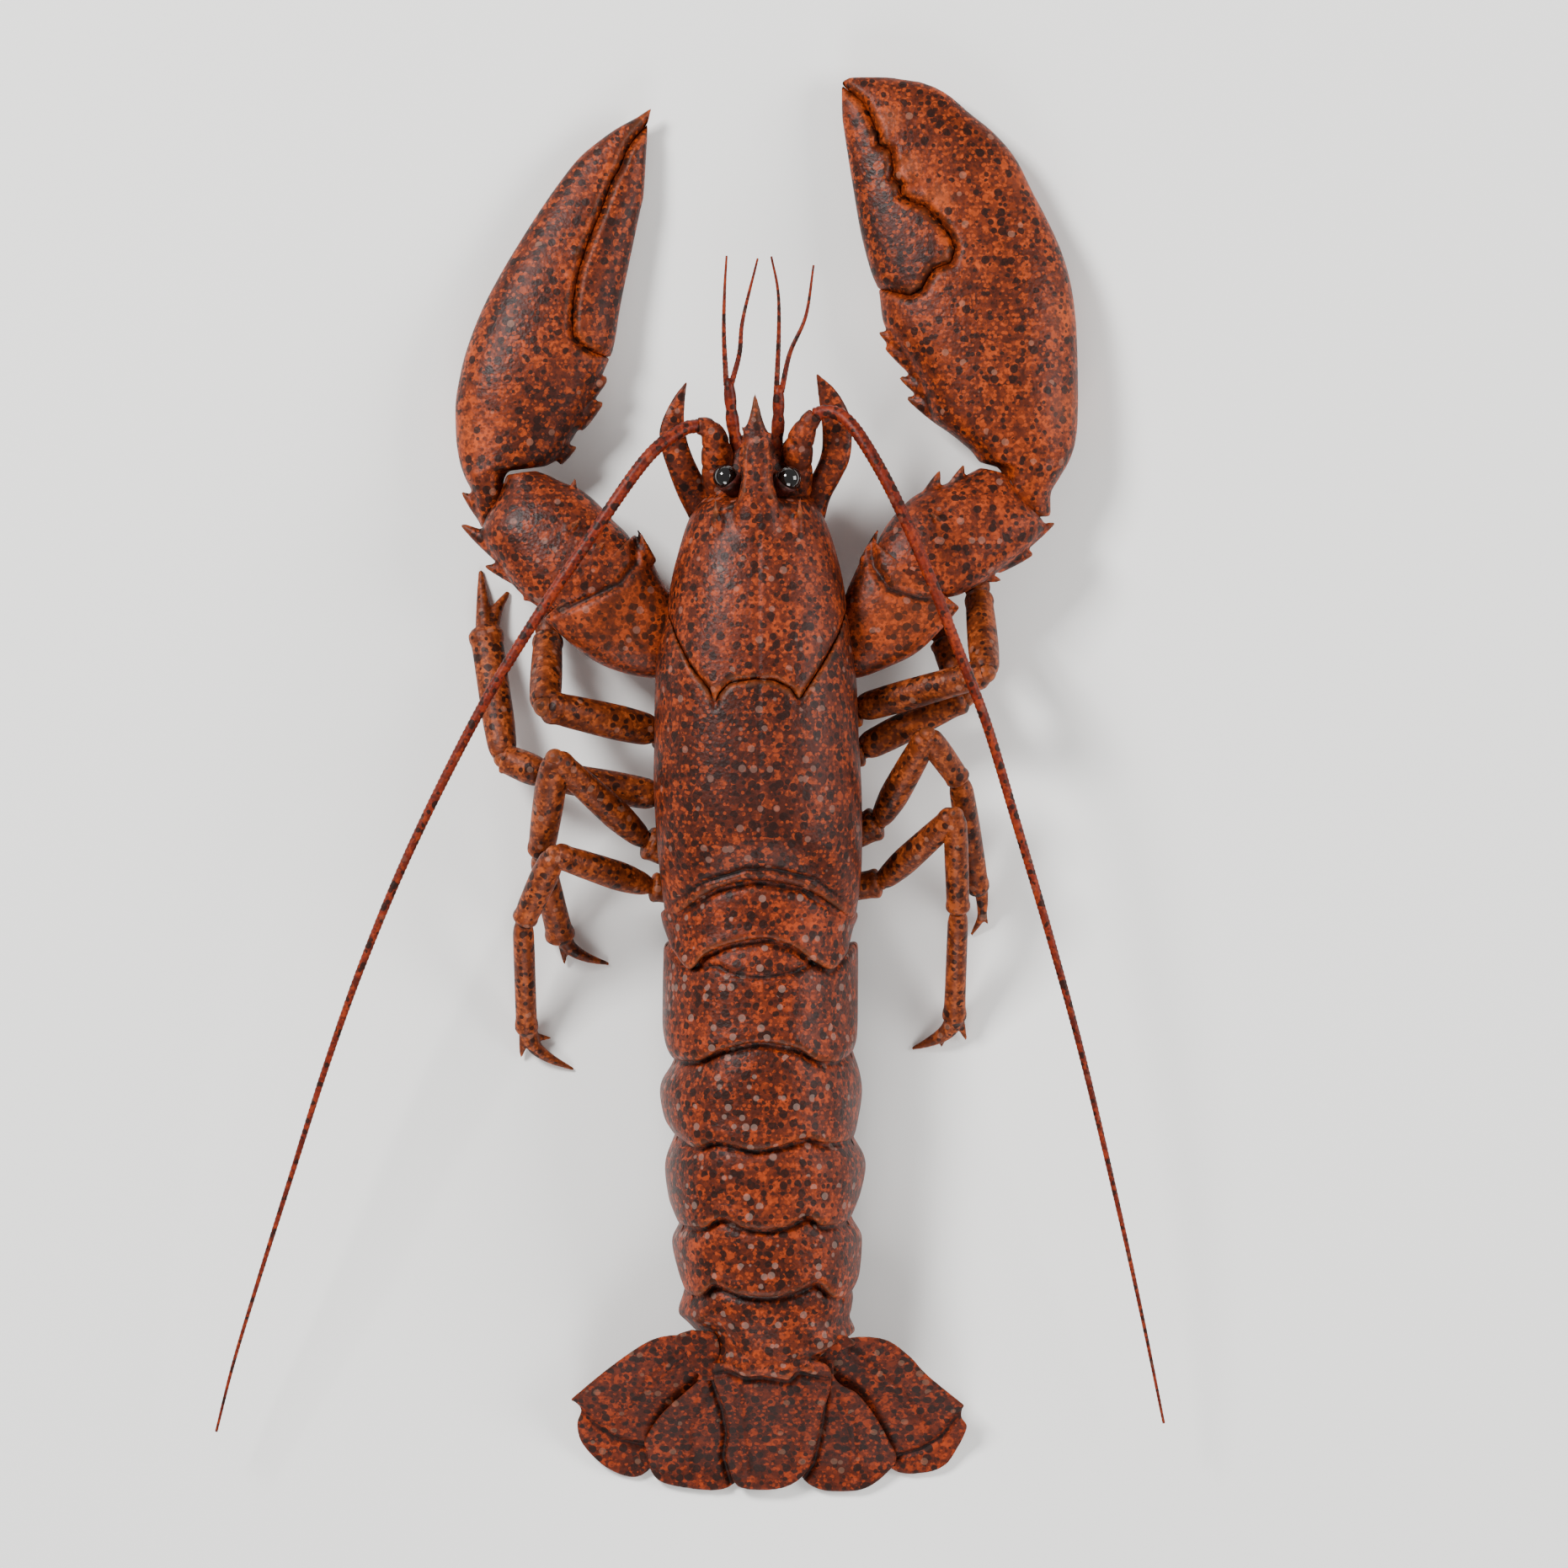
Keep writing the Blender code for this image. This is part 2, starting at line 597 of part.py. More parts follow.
WRISTS = {
    "left": (
        [(-50, 54.5), (-60, 51.2), (-66.5, 54), (-72.5, 59.5), (-77, 66.5), (-81.5, 73), (-81, 79),
         (-77, 86),
         (-74.6, 92.4)],
        [(-40, 59.8), (-36.8, 66), (-37.6, 73.2), (-43, 79), (-48, 84.4), (-53, 88.2), (-58, 90.2),
         (-62, 92.2),
         (-66, 93.6)],
    ),
    "right": (
        [(48, 56.0), (58, 56.2), (65, 59.5), (71, 63.6), (77.6, 68.5), (83, 73.6), (85, 78), (80, 84),
         (74.5, 92.5)],
        [(38, 59.6), (34.4, 66), (36, 73.6), (40.6, 80.6), (45.4, 85.4), (50, 88), (56, 89.8),
         (61.5, 92.2),
         (66, 94.6)],
    ),
}
WRIST_HEIGHTS = [(0, 26.5, 7.5, 7.5), (0.25, 26, 10.5, 10), (0.6, 22.5, 11, 10.5), (1, 17, 8.5, 8)]
WRIST_SPINES = {
    "left": [
        ((-78, 70.5, 22), (-87.4, 77.2, 21), 2.6), ((-73, 62, 23), (-80, 64.9, 22), 2.2),
        ((-65, 56.5, 25), (-69.2, 55.4, 25), 1.4), ((-55, 86, 24), (-54.2, 91.4, 26), 1.8),
        ((-58, 74, 31), (-52.5, 79, 37), 2.2), ((-50, 68, 32), (-45, 72.5, 38), 2.0),
    ],
    "right": [
        ((79, 73, 22), (87.4, 78.0, 21), 2.6), ((75, 67, 23), (80.8, 69.2, 22), 2.2),
        ((66, 62, 24), (71.6, 61.4, 24), 1.4), ((59, 88, 22), (60.6, 94.0, 24), 1.8),
        ((52, 86, 24), (54, 92.4, 25), 1.8), ((56, 76, 31), (51, 81, 37), 2.2),
    ],
}
UPPER_ARMS = {
    "left": (
        [(-20, 33), (-31, 32), (-40, 33.6), (-48, 36.8), (-56, 42.6), (-63.5, 49.6)],
        [(-20, 54), (-25.5, 57), (-29, 62), (-31.5, 67.5), (-33.6, 71.5), (-36.4, 74.8)],
    ),
    "right": (
        [(20, 33), (29, 32), (38, 35), (47, 39.4), (54, 46), (60, 53)],
        [(20, 53), (24.8, 55), (27, 59.5), (29.5, 65), (31.6, 69), (33.4, 73)],
    ),
}
UPPER_ARM_HEIGHTS = [(0, 23, 7, 6.5), (0.4, 25.5, 9.5, 8.5), (1, 27, 9, 8.5)]


def arms(head, thorax, palms):
    for name, palm in palms.items():
        wrist = between("claw_wrist_" + name, *WRISTS[name], WRIST_HEIGHTS, CLAW_SIDES, 0.85, 12)
        join(wrist, [spine(*row) for row in WRIST_SPINES[name]])
        trim(wrist, palm)
        paint(wrist, SHELL)
        arm = between("claw_arm_" + name, *UPPER_ARMS[name], UPPER_ARM_HEIGHTS, CLAW_SIDES, 0.85, 9)
        side = -1 if name == "left" else 1
        join(arm, [spine((side * 32.4, 68, 29), (side * 35.6, 76.2, 31), 1.8)])
        trim(arm, wrist, thorax, head)
        paint(arm, SHELL)


# Walking legs: inner end at the body, hip joint, knee, wrist, ankle and tip of each.
LEGS = {
    "left_1": [
        (-15, 13, 15), (-30.5, 16.3, 20), (-63, 23.8, 36), (-62.4, 44, 13), (-60.5, 66, 5),
        (-59.5, 82, 0.6),
    ],
    "left_2": [
        (-15, -5, 15), (-30, -2.8, 15.4), (-64, 3.6, 20), (-75.4, 8.4, 17), (-81.2, 47, 4.5),
        (-82.6, 64.2, 0.6),
    ],
    "left_3": [
        (-18, -23, 15), (-33.4, -16.4, 20), (-60, 8.2, 42), (-64.4, -20.5, 23), (-58.6, -45.6, 5),
        (-44.2, -53, 0.6),
    ],
    "left_4": [
        (-17, -32.2, 15), (-31.9, -29.8, 18), (-60.2, -20.2, 38), (-69.6, -40.4, 25), (-68.8, -73.4, 5),
        (-54.8, -84.4, 0.6),
    ],
    "right_1": [
        (15, 18, 15), (30, 23, 19), (67.4, 33.6, 38), (65.6, 56.5, 14), (62, 76, 4.5), (60, 90, 0.6),
    ],
    "right_2": [
        (15, 5, 15), (31, 11.1, 15), (61.5, 26.5, 19), (55, 43.5, 13), (50.5, 66, 4.5), (48, 81, 0.6),
    ],
    "right_3": [
        (18, -19, 15), (36, -10.6, 20), (50.2, 15.0, 41), (59.8, 1.6, 30), (65.6, -31.6, 8),
        (63.5, -44.2, 0.6),
    ],
    "right_4": [
        (18, -31.6, 15), (36.6, -28.6, 18), (58.4, -8.6, 38), (59.4, -37.4, 24), (58.4, -70, 5),
        (45.8, -78.2, 0.6),
    ],
}
# Radii at the start, middle and end of the upper segment, the middle segment and the foot.
LEG_RADII = {
    "left_1": [(4.4, 5.1, 4.3), (4.3, 4.6, 4.0), (3.9, 4.0, 3.4)],
    "left_2": [(4.3, 4.7, 4.0), (4.0, 4.5, 4.0), (3.9, 4.6, 4.7)],
    "left_3": [(2.9, 4.3, 3.3), (3.6, 4.5, 3.6), (3.2, 3.7, 4.0)],
    "left_4": [(2.8, 4.2, 3.3), (3.4, 4.0, 3.2), (2.9, 3.0, 3.0)],
    "right_1": [(4.0, 4.4, 3.9), (3.9, 4.4, 3.7), (3.6, 3.8, 3.4)],
    "right_2": [(3.9, 4.4, 3.8), (3.8, 4.2, 3.7), (3.6, 3.9, 3.6)],
    "right_3": [(2.9, 4.2, 3.4), (3.3, 3.7, 3.2), (3.3, 3.6, 3.0)],
    "right_4": [(2.8, 3.9, 3.3), (3.1, 3.4, 3.1), (2.8, 2.9, 3.2)],
}
COXA_RADII = {"1": 4.9, "2": 4.7, "3": 4.8, "4": 4.2}
PINCER_FINGERS = {
    "left_1": (-66.0, 78.0),
    "left_2": (-74.4, 57.8),
    "right_1": (66.4, 86.0),
    "right_2": (54.6, 77.6),
}


def mitre(before, joint, after):
    """The plane that halves the bend at a joint."""
    return ((joint - before).normalized() + (after - joint).normalized()).normalized()


def leg(name, thorax):
    inner_end, *joints = [Vector(p) for p in LEGS[name]]
    pincer = name in PINCER_FINGERS
    segments = []
    for n, part in enumerate(("upper", "middle", "foot")):
        first, last = joints[n], joints[n + 1]
        radii = LEG_RADII[name][n]
        first_cut = last_cut = None
        if n > 0:
            normal = mitre(joints[n - 1], first, last)
            first_cut = (first + normal * (GAP / 2), normal)
        if n < 2:
            normal = mitre(first, last, joints[n + 2])
            last_cut = (last - normal * (GAP / 2), normal)
        points = [first, first.lerp(last, 0.35), first.lerp(last, 0.72), last]
        sizes = [radii[0], radii[1], radii[1] * 0.7 + radii[2] * 0.3, radii[2]]
        segments.append(tube(f"leg_{name}_{part}", points, sizes, LEG_SIDES, first_cut, last_cut))
    upper, middle, foot = segments
    ankle, tip = joints[3], joints[4]
    along = (ankle - joints[2]).normalized()
    toes = []
    if pincer:
        finger_x, finger_y = PINCER_FINGERS[name]
        other_tip = Vector((finger_x, finger_y, 0.6))
        toes.append(tube("toe", [ankle - along * 3, ankle.lerp(tip, 0.45), tip], [2.6, 2.2, 0.7], 6))
        palm = ankle.lerp(other_tip, 0.5) + Vector((0, 0, 0.4))
        toes.append(tube("toe", [ankle - along * 3, palm, other_tip], [2.5, 1.9, 0.7], 6))
    else:
        bend = ankle.lerp(tip, 0.4) - Vector((0, 1.6, 0))
        toes.append(tube("toe", [ankle - along * 2.5, bend, tip], [2.2, 1.7, 0.7], 6))
        for turn in (-1, 1):
            spur = ankle + along * 4.2 + Vector((turn * 2.2, 0, -0.8))
            spur.z = max(spur.z, 1.4)
            toes.append(spine(ankle - along * 1.0 + Vector((turn, 0, 0)), spur, 1.2, 5))
    join(foot, toes)
    reach = COXA_RADII[name[-1]]
    coxa_end = joints[0] + (joints[0] - inner_end).normalized() * 0.6
    coxa_line = [inner_end, inner_end.lerp(coxa_end, 0.75), coxa_end]
    coxa = tube("coxa", coxa_line, [reach - 0.6, reach, reach - 0.9])
    join(upper, [coxa])
    trim(upper, thorax)
    for segment in segments:
        paint(segment, LEG)


# Abdomen. Rows: name, front y at the middle, hind y, front and hind half widths, bulge, middle x,
# front and hind sweep, top z at front and hind, and the lowest level of the side plates.
ABDOMEN = [
    ("abdomen_1", -29.0, -45.4, 27.8, 26.4, 2.0, 0.8, -10.5, -8.5, 50.5, 51.0, 20),
    ("abdomen_2", -45.7, -76.0, 26.4, 28.4, 1.6, 0.8, -8.5, -4.0, 49.5, 50.5, 12),
    ("abdomen_3", -76.3, -107.6, 28.4, 28.2, 2.4, 1.4, -4.0, 3.7, 49.0, 49.0, 9),
    ("abdomen_4", -107.9, -131.2, 28.2, 27.6, 2.4, 2.0, 3.7, 2.2, 47.0, 45.5, 8),
    ("abdomen_5", -131.5, -151.0, 27.6, 25.4, 2.0, 2.3, 2.2, 1.0, 43.5, 41.0, 6),
    ("abdomen_6", -151.3, -176.0, 25.4, 17.0, 0.6, 2.3, 1.0, 1.0, 39.0, 31.0, 5),
]
ARCH_POINTS = 13
BELLY_RISE = 9.0
PLATE_EDGE = 0.8


def arch_ring(y, middle_x, half, top, tip, sweep):
    """A section of a tail segment: an arched back, side plates that end at tip, and a hollow belly."""
    back, belly = [], []
    for k in range(ARCH_POINTS):
        turn = math.pi * k / (ARCH_POINTS - 1)
        share = abs(math.cos(turn)) ** 0.85
        level = math.copysign(share, math.cos(turn)) * half
        rise = (top - tip - PLATE_EDGE) * math.sin(turn) ** 0.72
        back.append(Vector((level, 0, tip + PLATE_EDGE + rise)))
        belly.append(Vector((level, 0, tip + BELLY_RISE * min(1, (1 - share) * 4))))
    points = back + belly[::-1]
    for point in points:
        point.y = y + sweep * (point.x / half) ** 2
        point.x += middle_x
    return points


TAIL_SPINES = [((-20, -158, 20), (-24.2, -164.5, 18), 2.2), ((24, -160, 20), (29.4, -167.2, 18), 2.2)]


def tail_segment(row):
    name, front, hind, front_half, hind_half, bulge, middle_x, *rest = row
    front_sweep, hind_sweep, front_top, hind_top, tip = rest
    rings = []
    for share in (0, 0.12, 0.4, 0.7, 0.92, 1):
        y = front + (hind - front) * share
        half = front_half + (hind_half - front_half) * share + bulge * math.sin(math.pi * share) ** 0.7
        top = front_top + (hind_top - front_top) * share + 1.6 * math.sin(math.pi * share)
        sweep = front_sweep + (hind_sweep - front_sweep) * share
        lift = 9.0 * (1 - math.sin(math.pi * min(share + 0.08, 1)) ** 0.5)
        rings.append(arch_ring(y, middle_x, half, top, tip + lift, sweep))
    segment = loft(name, rings, upright_ends=True)
    if name in ("abdomen_2", "abdomen_3", "abdomen_4", "abdomen_5"):
        paddles = []
        for side in (-1, 1):
            root = Vector((middle_x + side * 10, (front + hind) / 2, tip + BELLY_RISE + 5))
            tip_point = Vector((middle_x + side * 12, (front + hind) / 2 - 5, 3.5))
            rings = []
            for share, half in ((0, 2.4), (0.35, 3.4), (0.7, 3.2), (1, 1.0)):
                rings.append([
                    root.lerp(tip_point, share) + Vector((math.cos(a) * half, math.sin(a) * 1.2, 0))
                    for a in (math.pi * k / 3 for k in range(6))
                ])
            paddles.append(loft("paddle", rings))
        join(segment, paddles)
    if name == "abdomen_6":
        join(segment, [spine(*row) for row in TAIL_SPINES])
    paint(segment, SHELL_DARK)
    return segment


# Tail fan: five plates, each between an outer and an inner edge, sloping from the last segment down.
PLATE_THICK = 2.6
FAN = {
    "telson": (
        [(-13.0, -172), (-12, -178), (-10.2, -184), (-9, -192), (-9.4, -199.6), (-7.8, -205.4),
         (-3, -209)],
        [(19.4, -172), (18.9, -178), (18.2, -184), (18, -191.6), (16.4, -200), (13.4, -205.6),
         (8.6, -209)],
    ),
    "tail_inner_left": (
        [(-15.2, -172), (-19, -177.8), (-27, -184.2), (-33.4, -193.2), (-33, -199.4), (-31.2, -204.6),
         (-24, -208.6)],
        [(-13.6, -172), (-12.6, -178), (-10.7, -184), (-9.5, -192), (-9.9, -199.8), (-8.9, -205),
         (-12, -209.6)],
    ),
    "tail_inner_right": (
        [(21.6, -172), (26, -178.6), (32, -183), (37, -190), (40.6, -198.6), (36.6, -205.8),
         (29, -210.2)],
        [(20, -172), (19.4, -178), (18.7, -184), (18.5, -191.6), (17, -200), (14.4, -205.8), (18, -210)],
    ),
    "tail_outer_left": (
        [(-25.6, -163.4), (-34, -167), (-43, -174), (-55.4, -182.6), (-53.6, -190.4), (-50.6, -197.6),
         (-42, -204.4)],
        [(-14, -170), (-18.6, -177), (-26.8, -184.6), (-33.6, -193.6), (-33.8, -198.6), (-32.4, -202),
         (-34.6, -204.8)],
    ),
    "tail_outer_right": (
        [(30, -163.2), (39, -164.8), (49, -173), (60.8, -184), (61.8, -190.8), (57.6, -200.6),
         (50, -204.8)],
        [(20.6, -170), (25.6, -177.4), (32.4, -183.2), (37.6, -190.2), (41.2, -198.2), (40.8, -202),
         (42.6, -204.6)],
    ),
}
FAN_SLOPE = [(0, 24), (0.3, 17.5), (0.6, 9.0), (0.85, 3.2), (1, 1.3)]  # middle z along a plate
FAN_RISE = {"telson": 2.6, "tail_inner": 1.0, "tail_outer": -0.6}  # how much higher a plate's root lies


def fan_plate(name):
    heights = []
    for share, level in FAN_SLOPE:
        rise = FAN_RISE[name.removesuffix("_left").removesuffix("_right")]
        middle = max(level + rise * (1 - share), PLATE_THICK / 2 - 0.02)
        half = PLATE_THICK / 2 * (1.15 - 0.15 * share)
        heights.append((share, middle, half, half))
    return between(name, *FAN[name], heights, 10, 0.55, 12)


def tail_fan(last_segment):
    plates = {name: fan_plate(name) for name in FAN}
    for name, plate in plates.items():
        trim(plate, last_segment)
    for side in ("left", "right"):
        trim(plates["tail_inner_" + side], plates["telson"])
        trim(plates["tail_outer_" + side], plates["tail_inner_" + side])
    for plate in plates.values():
        paint(plate, SHELL_DARK)


def finish():
    for obj in bpy.data.objects:
        for vert in obj.data.vertices:
            vert.co = (vert.co - BOX_MIDDLE) * MM
        obj.data.shade_smooth()
        obj.data.set_sharp_from_angle(angle=math.radians(40))
        obj.data.name = obj.name


def main():
    head, thorax = head_and_thorax()
    head_appendages(head, thorax)
    cutter, crusher = claws()
    arms(head, thorax, {"left": cutter, "right": crusher})
    for name in LEGS:
        leg(name, thorax)
    segments = [tail_segment(row) for row in ABDOMEN]
    tail_fan(segments[-1])
    finish()


main()
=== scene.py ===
import math

import bmesh
import bpy
import numpy as np
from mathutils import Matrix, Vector


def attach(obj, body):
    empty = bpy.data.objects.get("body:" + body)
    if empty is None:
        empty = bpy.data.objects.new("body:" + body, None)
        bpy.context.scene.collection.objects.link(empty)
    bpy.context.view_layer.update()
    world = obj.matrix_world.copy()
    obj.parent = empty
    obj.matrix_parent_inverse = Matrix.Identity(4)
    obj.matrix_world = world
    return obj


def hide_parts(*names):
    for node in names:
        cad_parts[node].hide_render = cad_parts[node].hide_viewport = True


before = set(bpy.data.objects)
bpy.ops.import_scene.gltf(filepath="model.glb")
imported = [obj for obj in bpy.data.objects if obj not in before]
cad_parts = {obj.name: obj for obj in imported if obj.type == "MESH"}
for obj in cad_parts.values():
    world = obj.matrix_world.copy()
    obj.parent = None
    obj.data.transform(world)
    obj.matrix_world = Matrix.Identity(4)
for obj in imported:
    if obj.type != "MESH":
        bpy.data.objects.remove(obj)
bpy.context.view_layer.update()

# Carapace. The real one is a single calcified shield over head and thorax, grown in one piece and
# shed whole at each moult. A deep neck groove crosses it, and it ends in front in a toothed beak.

# Shapes are made in millimetres, with x and y as in the drawing and z from the floor.
MM = 0.001
SHIFT = Vector((20.05, -0.35, 0))  # from the middle of the drawing to the middle of the model
CROSSWISE = Vector((1, 0, 0))
UP = Vector((0, 0, 1))
SHELL_VOXEL = 0.7  # of the carapace and the tail rings


def read(rows, key, column=1):
    """A value between the rows of a table, on a smooth line through them that never overshoots."""
    n = 0
    while n < len(rows) - 2 and key > rows[n + 1][0]:
        n += 1
    steps = [rows[k + 1][0] - rows[k][0] for k in range(len(rows) - 1)]
    slopes = [(rows[k + 1][column] - rows[k][column]) / steps[k] for k in range(len(rows) - 1)]
    ends = []
    for k in (n, n + 1):
        before, after = slopes[max(k - 1, 0)], slopes[min(k, len(slopes) - 1)]
        ends.append(2 * before * after / (before + after) if before * after > 0 else 0.0)
    t = min(max((key - rows[n][0]) / steps[n], 0), 1)
    start, stop = rows[n][column], rows[n + 1][column]
    bend = steps[n] * (ends[0] * (t - 2 * t**2 + t**3) + ends[1] * (t**3 - t**2))
    return start + (stop - start) * (3 * t**2 - 2 * t**3) + bend


def course(points, count):
    """Evenly spaced points on a smooth line through the given ones."""
    rows = [Vector(p if len(p) == 3 else (*p, 0)) for p in points]
    rows = [rows[0] * 2 - rows[1], *rows, rows[-1] * 2 - rows[-2]]
    dense = []
    for a, b, c, d in zip(rows, rows[1:], rows[2:], rows[3:]):
        for k in range(16):
            t = k / 16
            bend = (a * 2 - b * 5 + c * 4 - d) * t**2
            dense.append((b * 2 + (c - a) * t + bend + (b * 3 - a - c * 3 + d) * t**3) / 2)
    dense.append(rows[-2])
    run = [0.0]
    for a, b in zip(dense, dense[1:]):
        run.append(run[-1] + (b - a).length)
    wanted = np.linspace(0, run[-1], count)
    return [Vector([np.interp(w, run, [p[k] for p in dense]) for k in range(3)]) for w in wanted]


def band(bm, centre, half, up, down, corner=1.0, across=CROSSWISE, segments=48):
    """One section of a shell: an upright ring, half wide to each side, up high and down deep."""
    made = bmesh.ops.create_circle(bm, segments=segments, radius=1)
    for vert in made["verts"]:
        level, rise = vert.co.x, vert.co.y
        level = math.copysign(abs(level) ** corner, level) * half
        rise = math.copysign(abs(rise) ** corner, rise) * (up if rise > 0 else down)
        vert.co = Vector(centre) + across * level + UP * rise
    return made["verts"]


def skin(bm, rings):
    """Bridges ring after ring and closes both ends."""
    loops = []
    for ring in rings:
        edges = {edge for vert in ring for edge in vert.link_edges}
        loops.append([edge for edge in edges if not edge.link_faces])
    for first, second in zip(loops, loops[1:]):
        bmesh.ops.bridge_loops(bm, edges=first + second)
    bmesh.ops.holes_fill(bm, edges=loops[0] + loops[-1], sides=0)
    bmesh.ops.recalc_face_normals(bm, faces=bm.faces)


def limb(bm, points, radii, segments=20, flat=1.0):
    """A round limb along a line, as wide at each point as its radius says."""
    rings = []
    for n, point in enumerate(points):
        along = (points[min(n + 1, len(points) - 1)] - points[max(n - 1, 0)]).normalized()
        across = along.cross(UP)
        across = across.normalized() if across.length > 0.05 else CROSSWISE.copy()
        rise = across.cross(along)
        ring = bmesh.ops.create_circle(bm, segments=segments, radius=1)["verts"]
        for vert in ring:
            vert.co = point + across * vert.co.x * radii[n] + rise * vert.co.y * radii[n] * flat
        rings.append(ring)
    skin(bm, rings)


def ball(bm, centre, radius, around, along):
    """A sphere with so many faces around it and from pole to pole."""
    made = bmesh.ops.create_uvsphere(bm, u_segments=around, v_segments=along, radius=radius)
    bmesh.ops.translate(bm, verts=made["verts"], vec=centre)


THORN_SHAPE = [(-0.25, 1.15), (0, 1.0), (0.3, 0.8), (0.6, 0.56), (0.85, 0.34), (1, 0.16)]


def thorn(bm, root, tip, radius):
    """A spine of the shell: it starts under the skin, wider than it is outside, and ends blunt."""
    root, tip = Vector(root), Vector(tip)
    points = [root.lerp(tip, share) for share, _ in THORN_SHAPE]
    limb(bm, points, [radius * width for _, width in THORN_SHAPE], 12)


def shell_object(name, bm, voxel=0, rounds=0):
    """Makes an object of the forms in a bmesh, and melts them if a voxel size is given."""
    mesh = bpy.data.meshes.new(name)
    bm.to_mesh(mesh)
    bm.free()
    obj = bpy.data.objects.new(name, mesh)
    bpy.context.scene.collection.objects.link(obj)
    if voxel:
        melt(obj, voxel, rounds)
    return obj


def settle(obj):
    """Puts what the modifiers show into the mesh."""
    bpy.context.view_layer.update()
    graph = bpy.context.evaluated_depsgraph_get()
    made = bpy.data.meshes.new_from_object(obj.evaluated_get(graph))
    obj.modifiers.clear()
    obj.data = made


def melt(obj, voxel, rounds):
    """Melts the closed forms of an object into one skin, as a shell grows, and smooths it."""
    fusing = obj.modifiers.new("fusing", "REMESH")
    fusing.mode = "VOXEL"
    fusing.voxel_size = voxel
    settle(obj)
    bm = bmesh.new()
    bm.from_mesh(obj.data)
    for _ in range(rounds):
        bmesh.ops.smooth_vert(bm, verts=bm.verts, factor=0.5, use_axis_x=True, use_axis_y=True,
                              use_axis_z=True)
    bm.to_mesh(obj.data)
    bm.free()


def surface(mesh):
    """The points of a mesh and their normals, as two arrays."""
    columns = []
    for kind in ("co", "normal"):
        values = np.empty(len(mesh.vertices) * 3)
        mesh.vertices.foreach_get(kind, values)
        columns.append(values.reshape(-1, 3))
    return columns


def carve(obj, moves_at):
    """Moves each point of a skin by what a function of the points and their normals gives."""
    points, normals = surface(obj.data)
    points = points + moves_at(points, normals)
    obj.data.vertices.foreach_set("co", points.ravel())
    obj.data.update()


def along_line(points, line, width):
    """How near each point is to a line seen from above: 1 on it, next to nothing beyond its width."""
    line = np.array([[p[0], p[1]] for p in line], float)
    nearest = np.full(len(points), 1e9)
    for a, b in zip(line, line[1:]):
        along = b - a
        share = np.clip(((points[:, :2] - a) @ along) / (along @ along), 0, 1)
        gap = points[:, :2] - (a + share[:, None] * along)
        nearest = np.minimum(nearest, np.sqrt((gap**2).sum(axis=1)))
    return np.exp(-((nearest / width) ** 2))


def press(obj, line, width, depth, over=0.0):
    """Presses a soft groove along a line into what lies higher than over and doesn't face down.

    A negative depth raises a ridge.
    """

    def sink(points, normals):
        amount = along_line(points, line, width) * depth * np.clip((points[:, 2] - over) * 2, 0, 1)
        return np.outer(-amount * np.clip(normals[:, 2] * 3 + 0.6, 0, 1), UP)

    carve(obj, sink)


SPREAD_ROUNDS = 6


def hollows(mesh, points, normals):
    """How far each point lies in a hollow, or on a ridge where negative, spread to its neighbours."""
    count = len(points)
    ends = np.empty(len(mesh.edges) * 2, np.int64)
    mesh.edges.foreach_get("vertices", ends)
    first, second = ends.reshape(-1, 2).T
    both, other = np.concatenate([first, second]), np.concatenate([second, first])
    degree = np.maximum(np.bincount(both, minlength=count), 1)
    slope = ((points[other] - points[both]) * normals[both]).sum(axis=1)
    hollow = np.bincount(both, slope, count) / degree
    for _ in range(SPREAD_ROUNDS):
        hollow = hollow * 0.4 + 0.6 * np.bincount(both, hollow[other], count) / degree
    return hollow


def place_piece(obj, material, replaced="", patches=()):
    """Takes a piece from drawing millimetres to its place in the frame, and hides the model's part that it
    replaces.

    Each patch (x, y, reach, strength) darkens the shell round a place, or lights it if it is negative.
    """
    mesh = obj.data
    points, normals = surface(mesh)
    dusk = np.zeros(len(points))
    for x, y, reach, strength in patches:
        dusk += strength * np.exp(-(((points[:, 0] - x) ** 2 + (points[:, 1] - y) ** 2) / reach**2))
    for kind, values in (("hollow", hollows(mesh, points, normals)), ("dusk", dusk)):
        kept = mesh.attributes.new(kind, "FLOAT", "POINT")
        kept.data.foreach_set("value", values.astype(np.float32))
    mesh.vertices.foreach_set("co", ((points + np.array(SHIFT)) * MM).ravel())
    mesh.polygons.foreach_set("use_smooth", [True] * len(mesh.polygons))
    mesh.update()
    mesh.materials.clear()
    mesh.materials.append(material)
    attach(obj, "root")
    if replaced:
        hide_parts(replaced)


def colour(code):
    """An sRGB hex colour as the linear values that a shader takes."""
    parts = []
    for k in (0, 2, 4):
        value = int(code[k:k + 2], 16) / 255
        parts.append(value / 12.92 if value <= 0.04045 else ((value + 0.055) / 1.055) ** 2.4)
    return (*parts, 1.0)


def node(tree, kind, inputs, stops=(), out=0, **settings):
    """Adds a shader node and gives one of its outputs. Each input is a value or another's output."""
    made = tree.nodes.new("ShaderNode" + kind)
    for key, value in settings.items():
        setattr(made, key, value)
    for _ in stops[2:]:
        made.color_ramp.elements.new(0.5)
    for n, (position, shade) in enumerate(stops):
        stop = made.color_ramp.elements[n]
        stop.position = position
        stop.color = shade if isinstance(shade, tuple) else (shade, shade, shade, 1.0)
    for key, source in inputs.items():
        if isinstance(source, bpy.types.NodeSocket):
            tree.links.new(source, made.inputs[key])
        else:
            made.inputs[key].default_value = source
    return made.outputs[out]


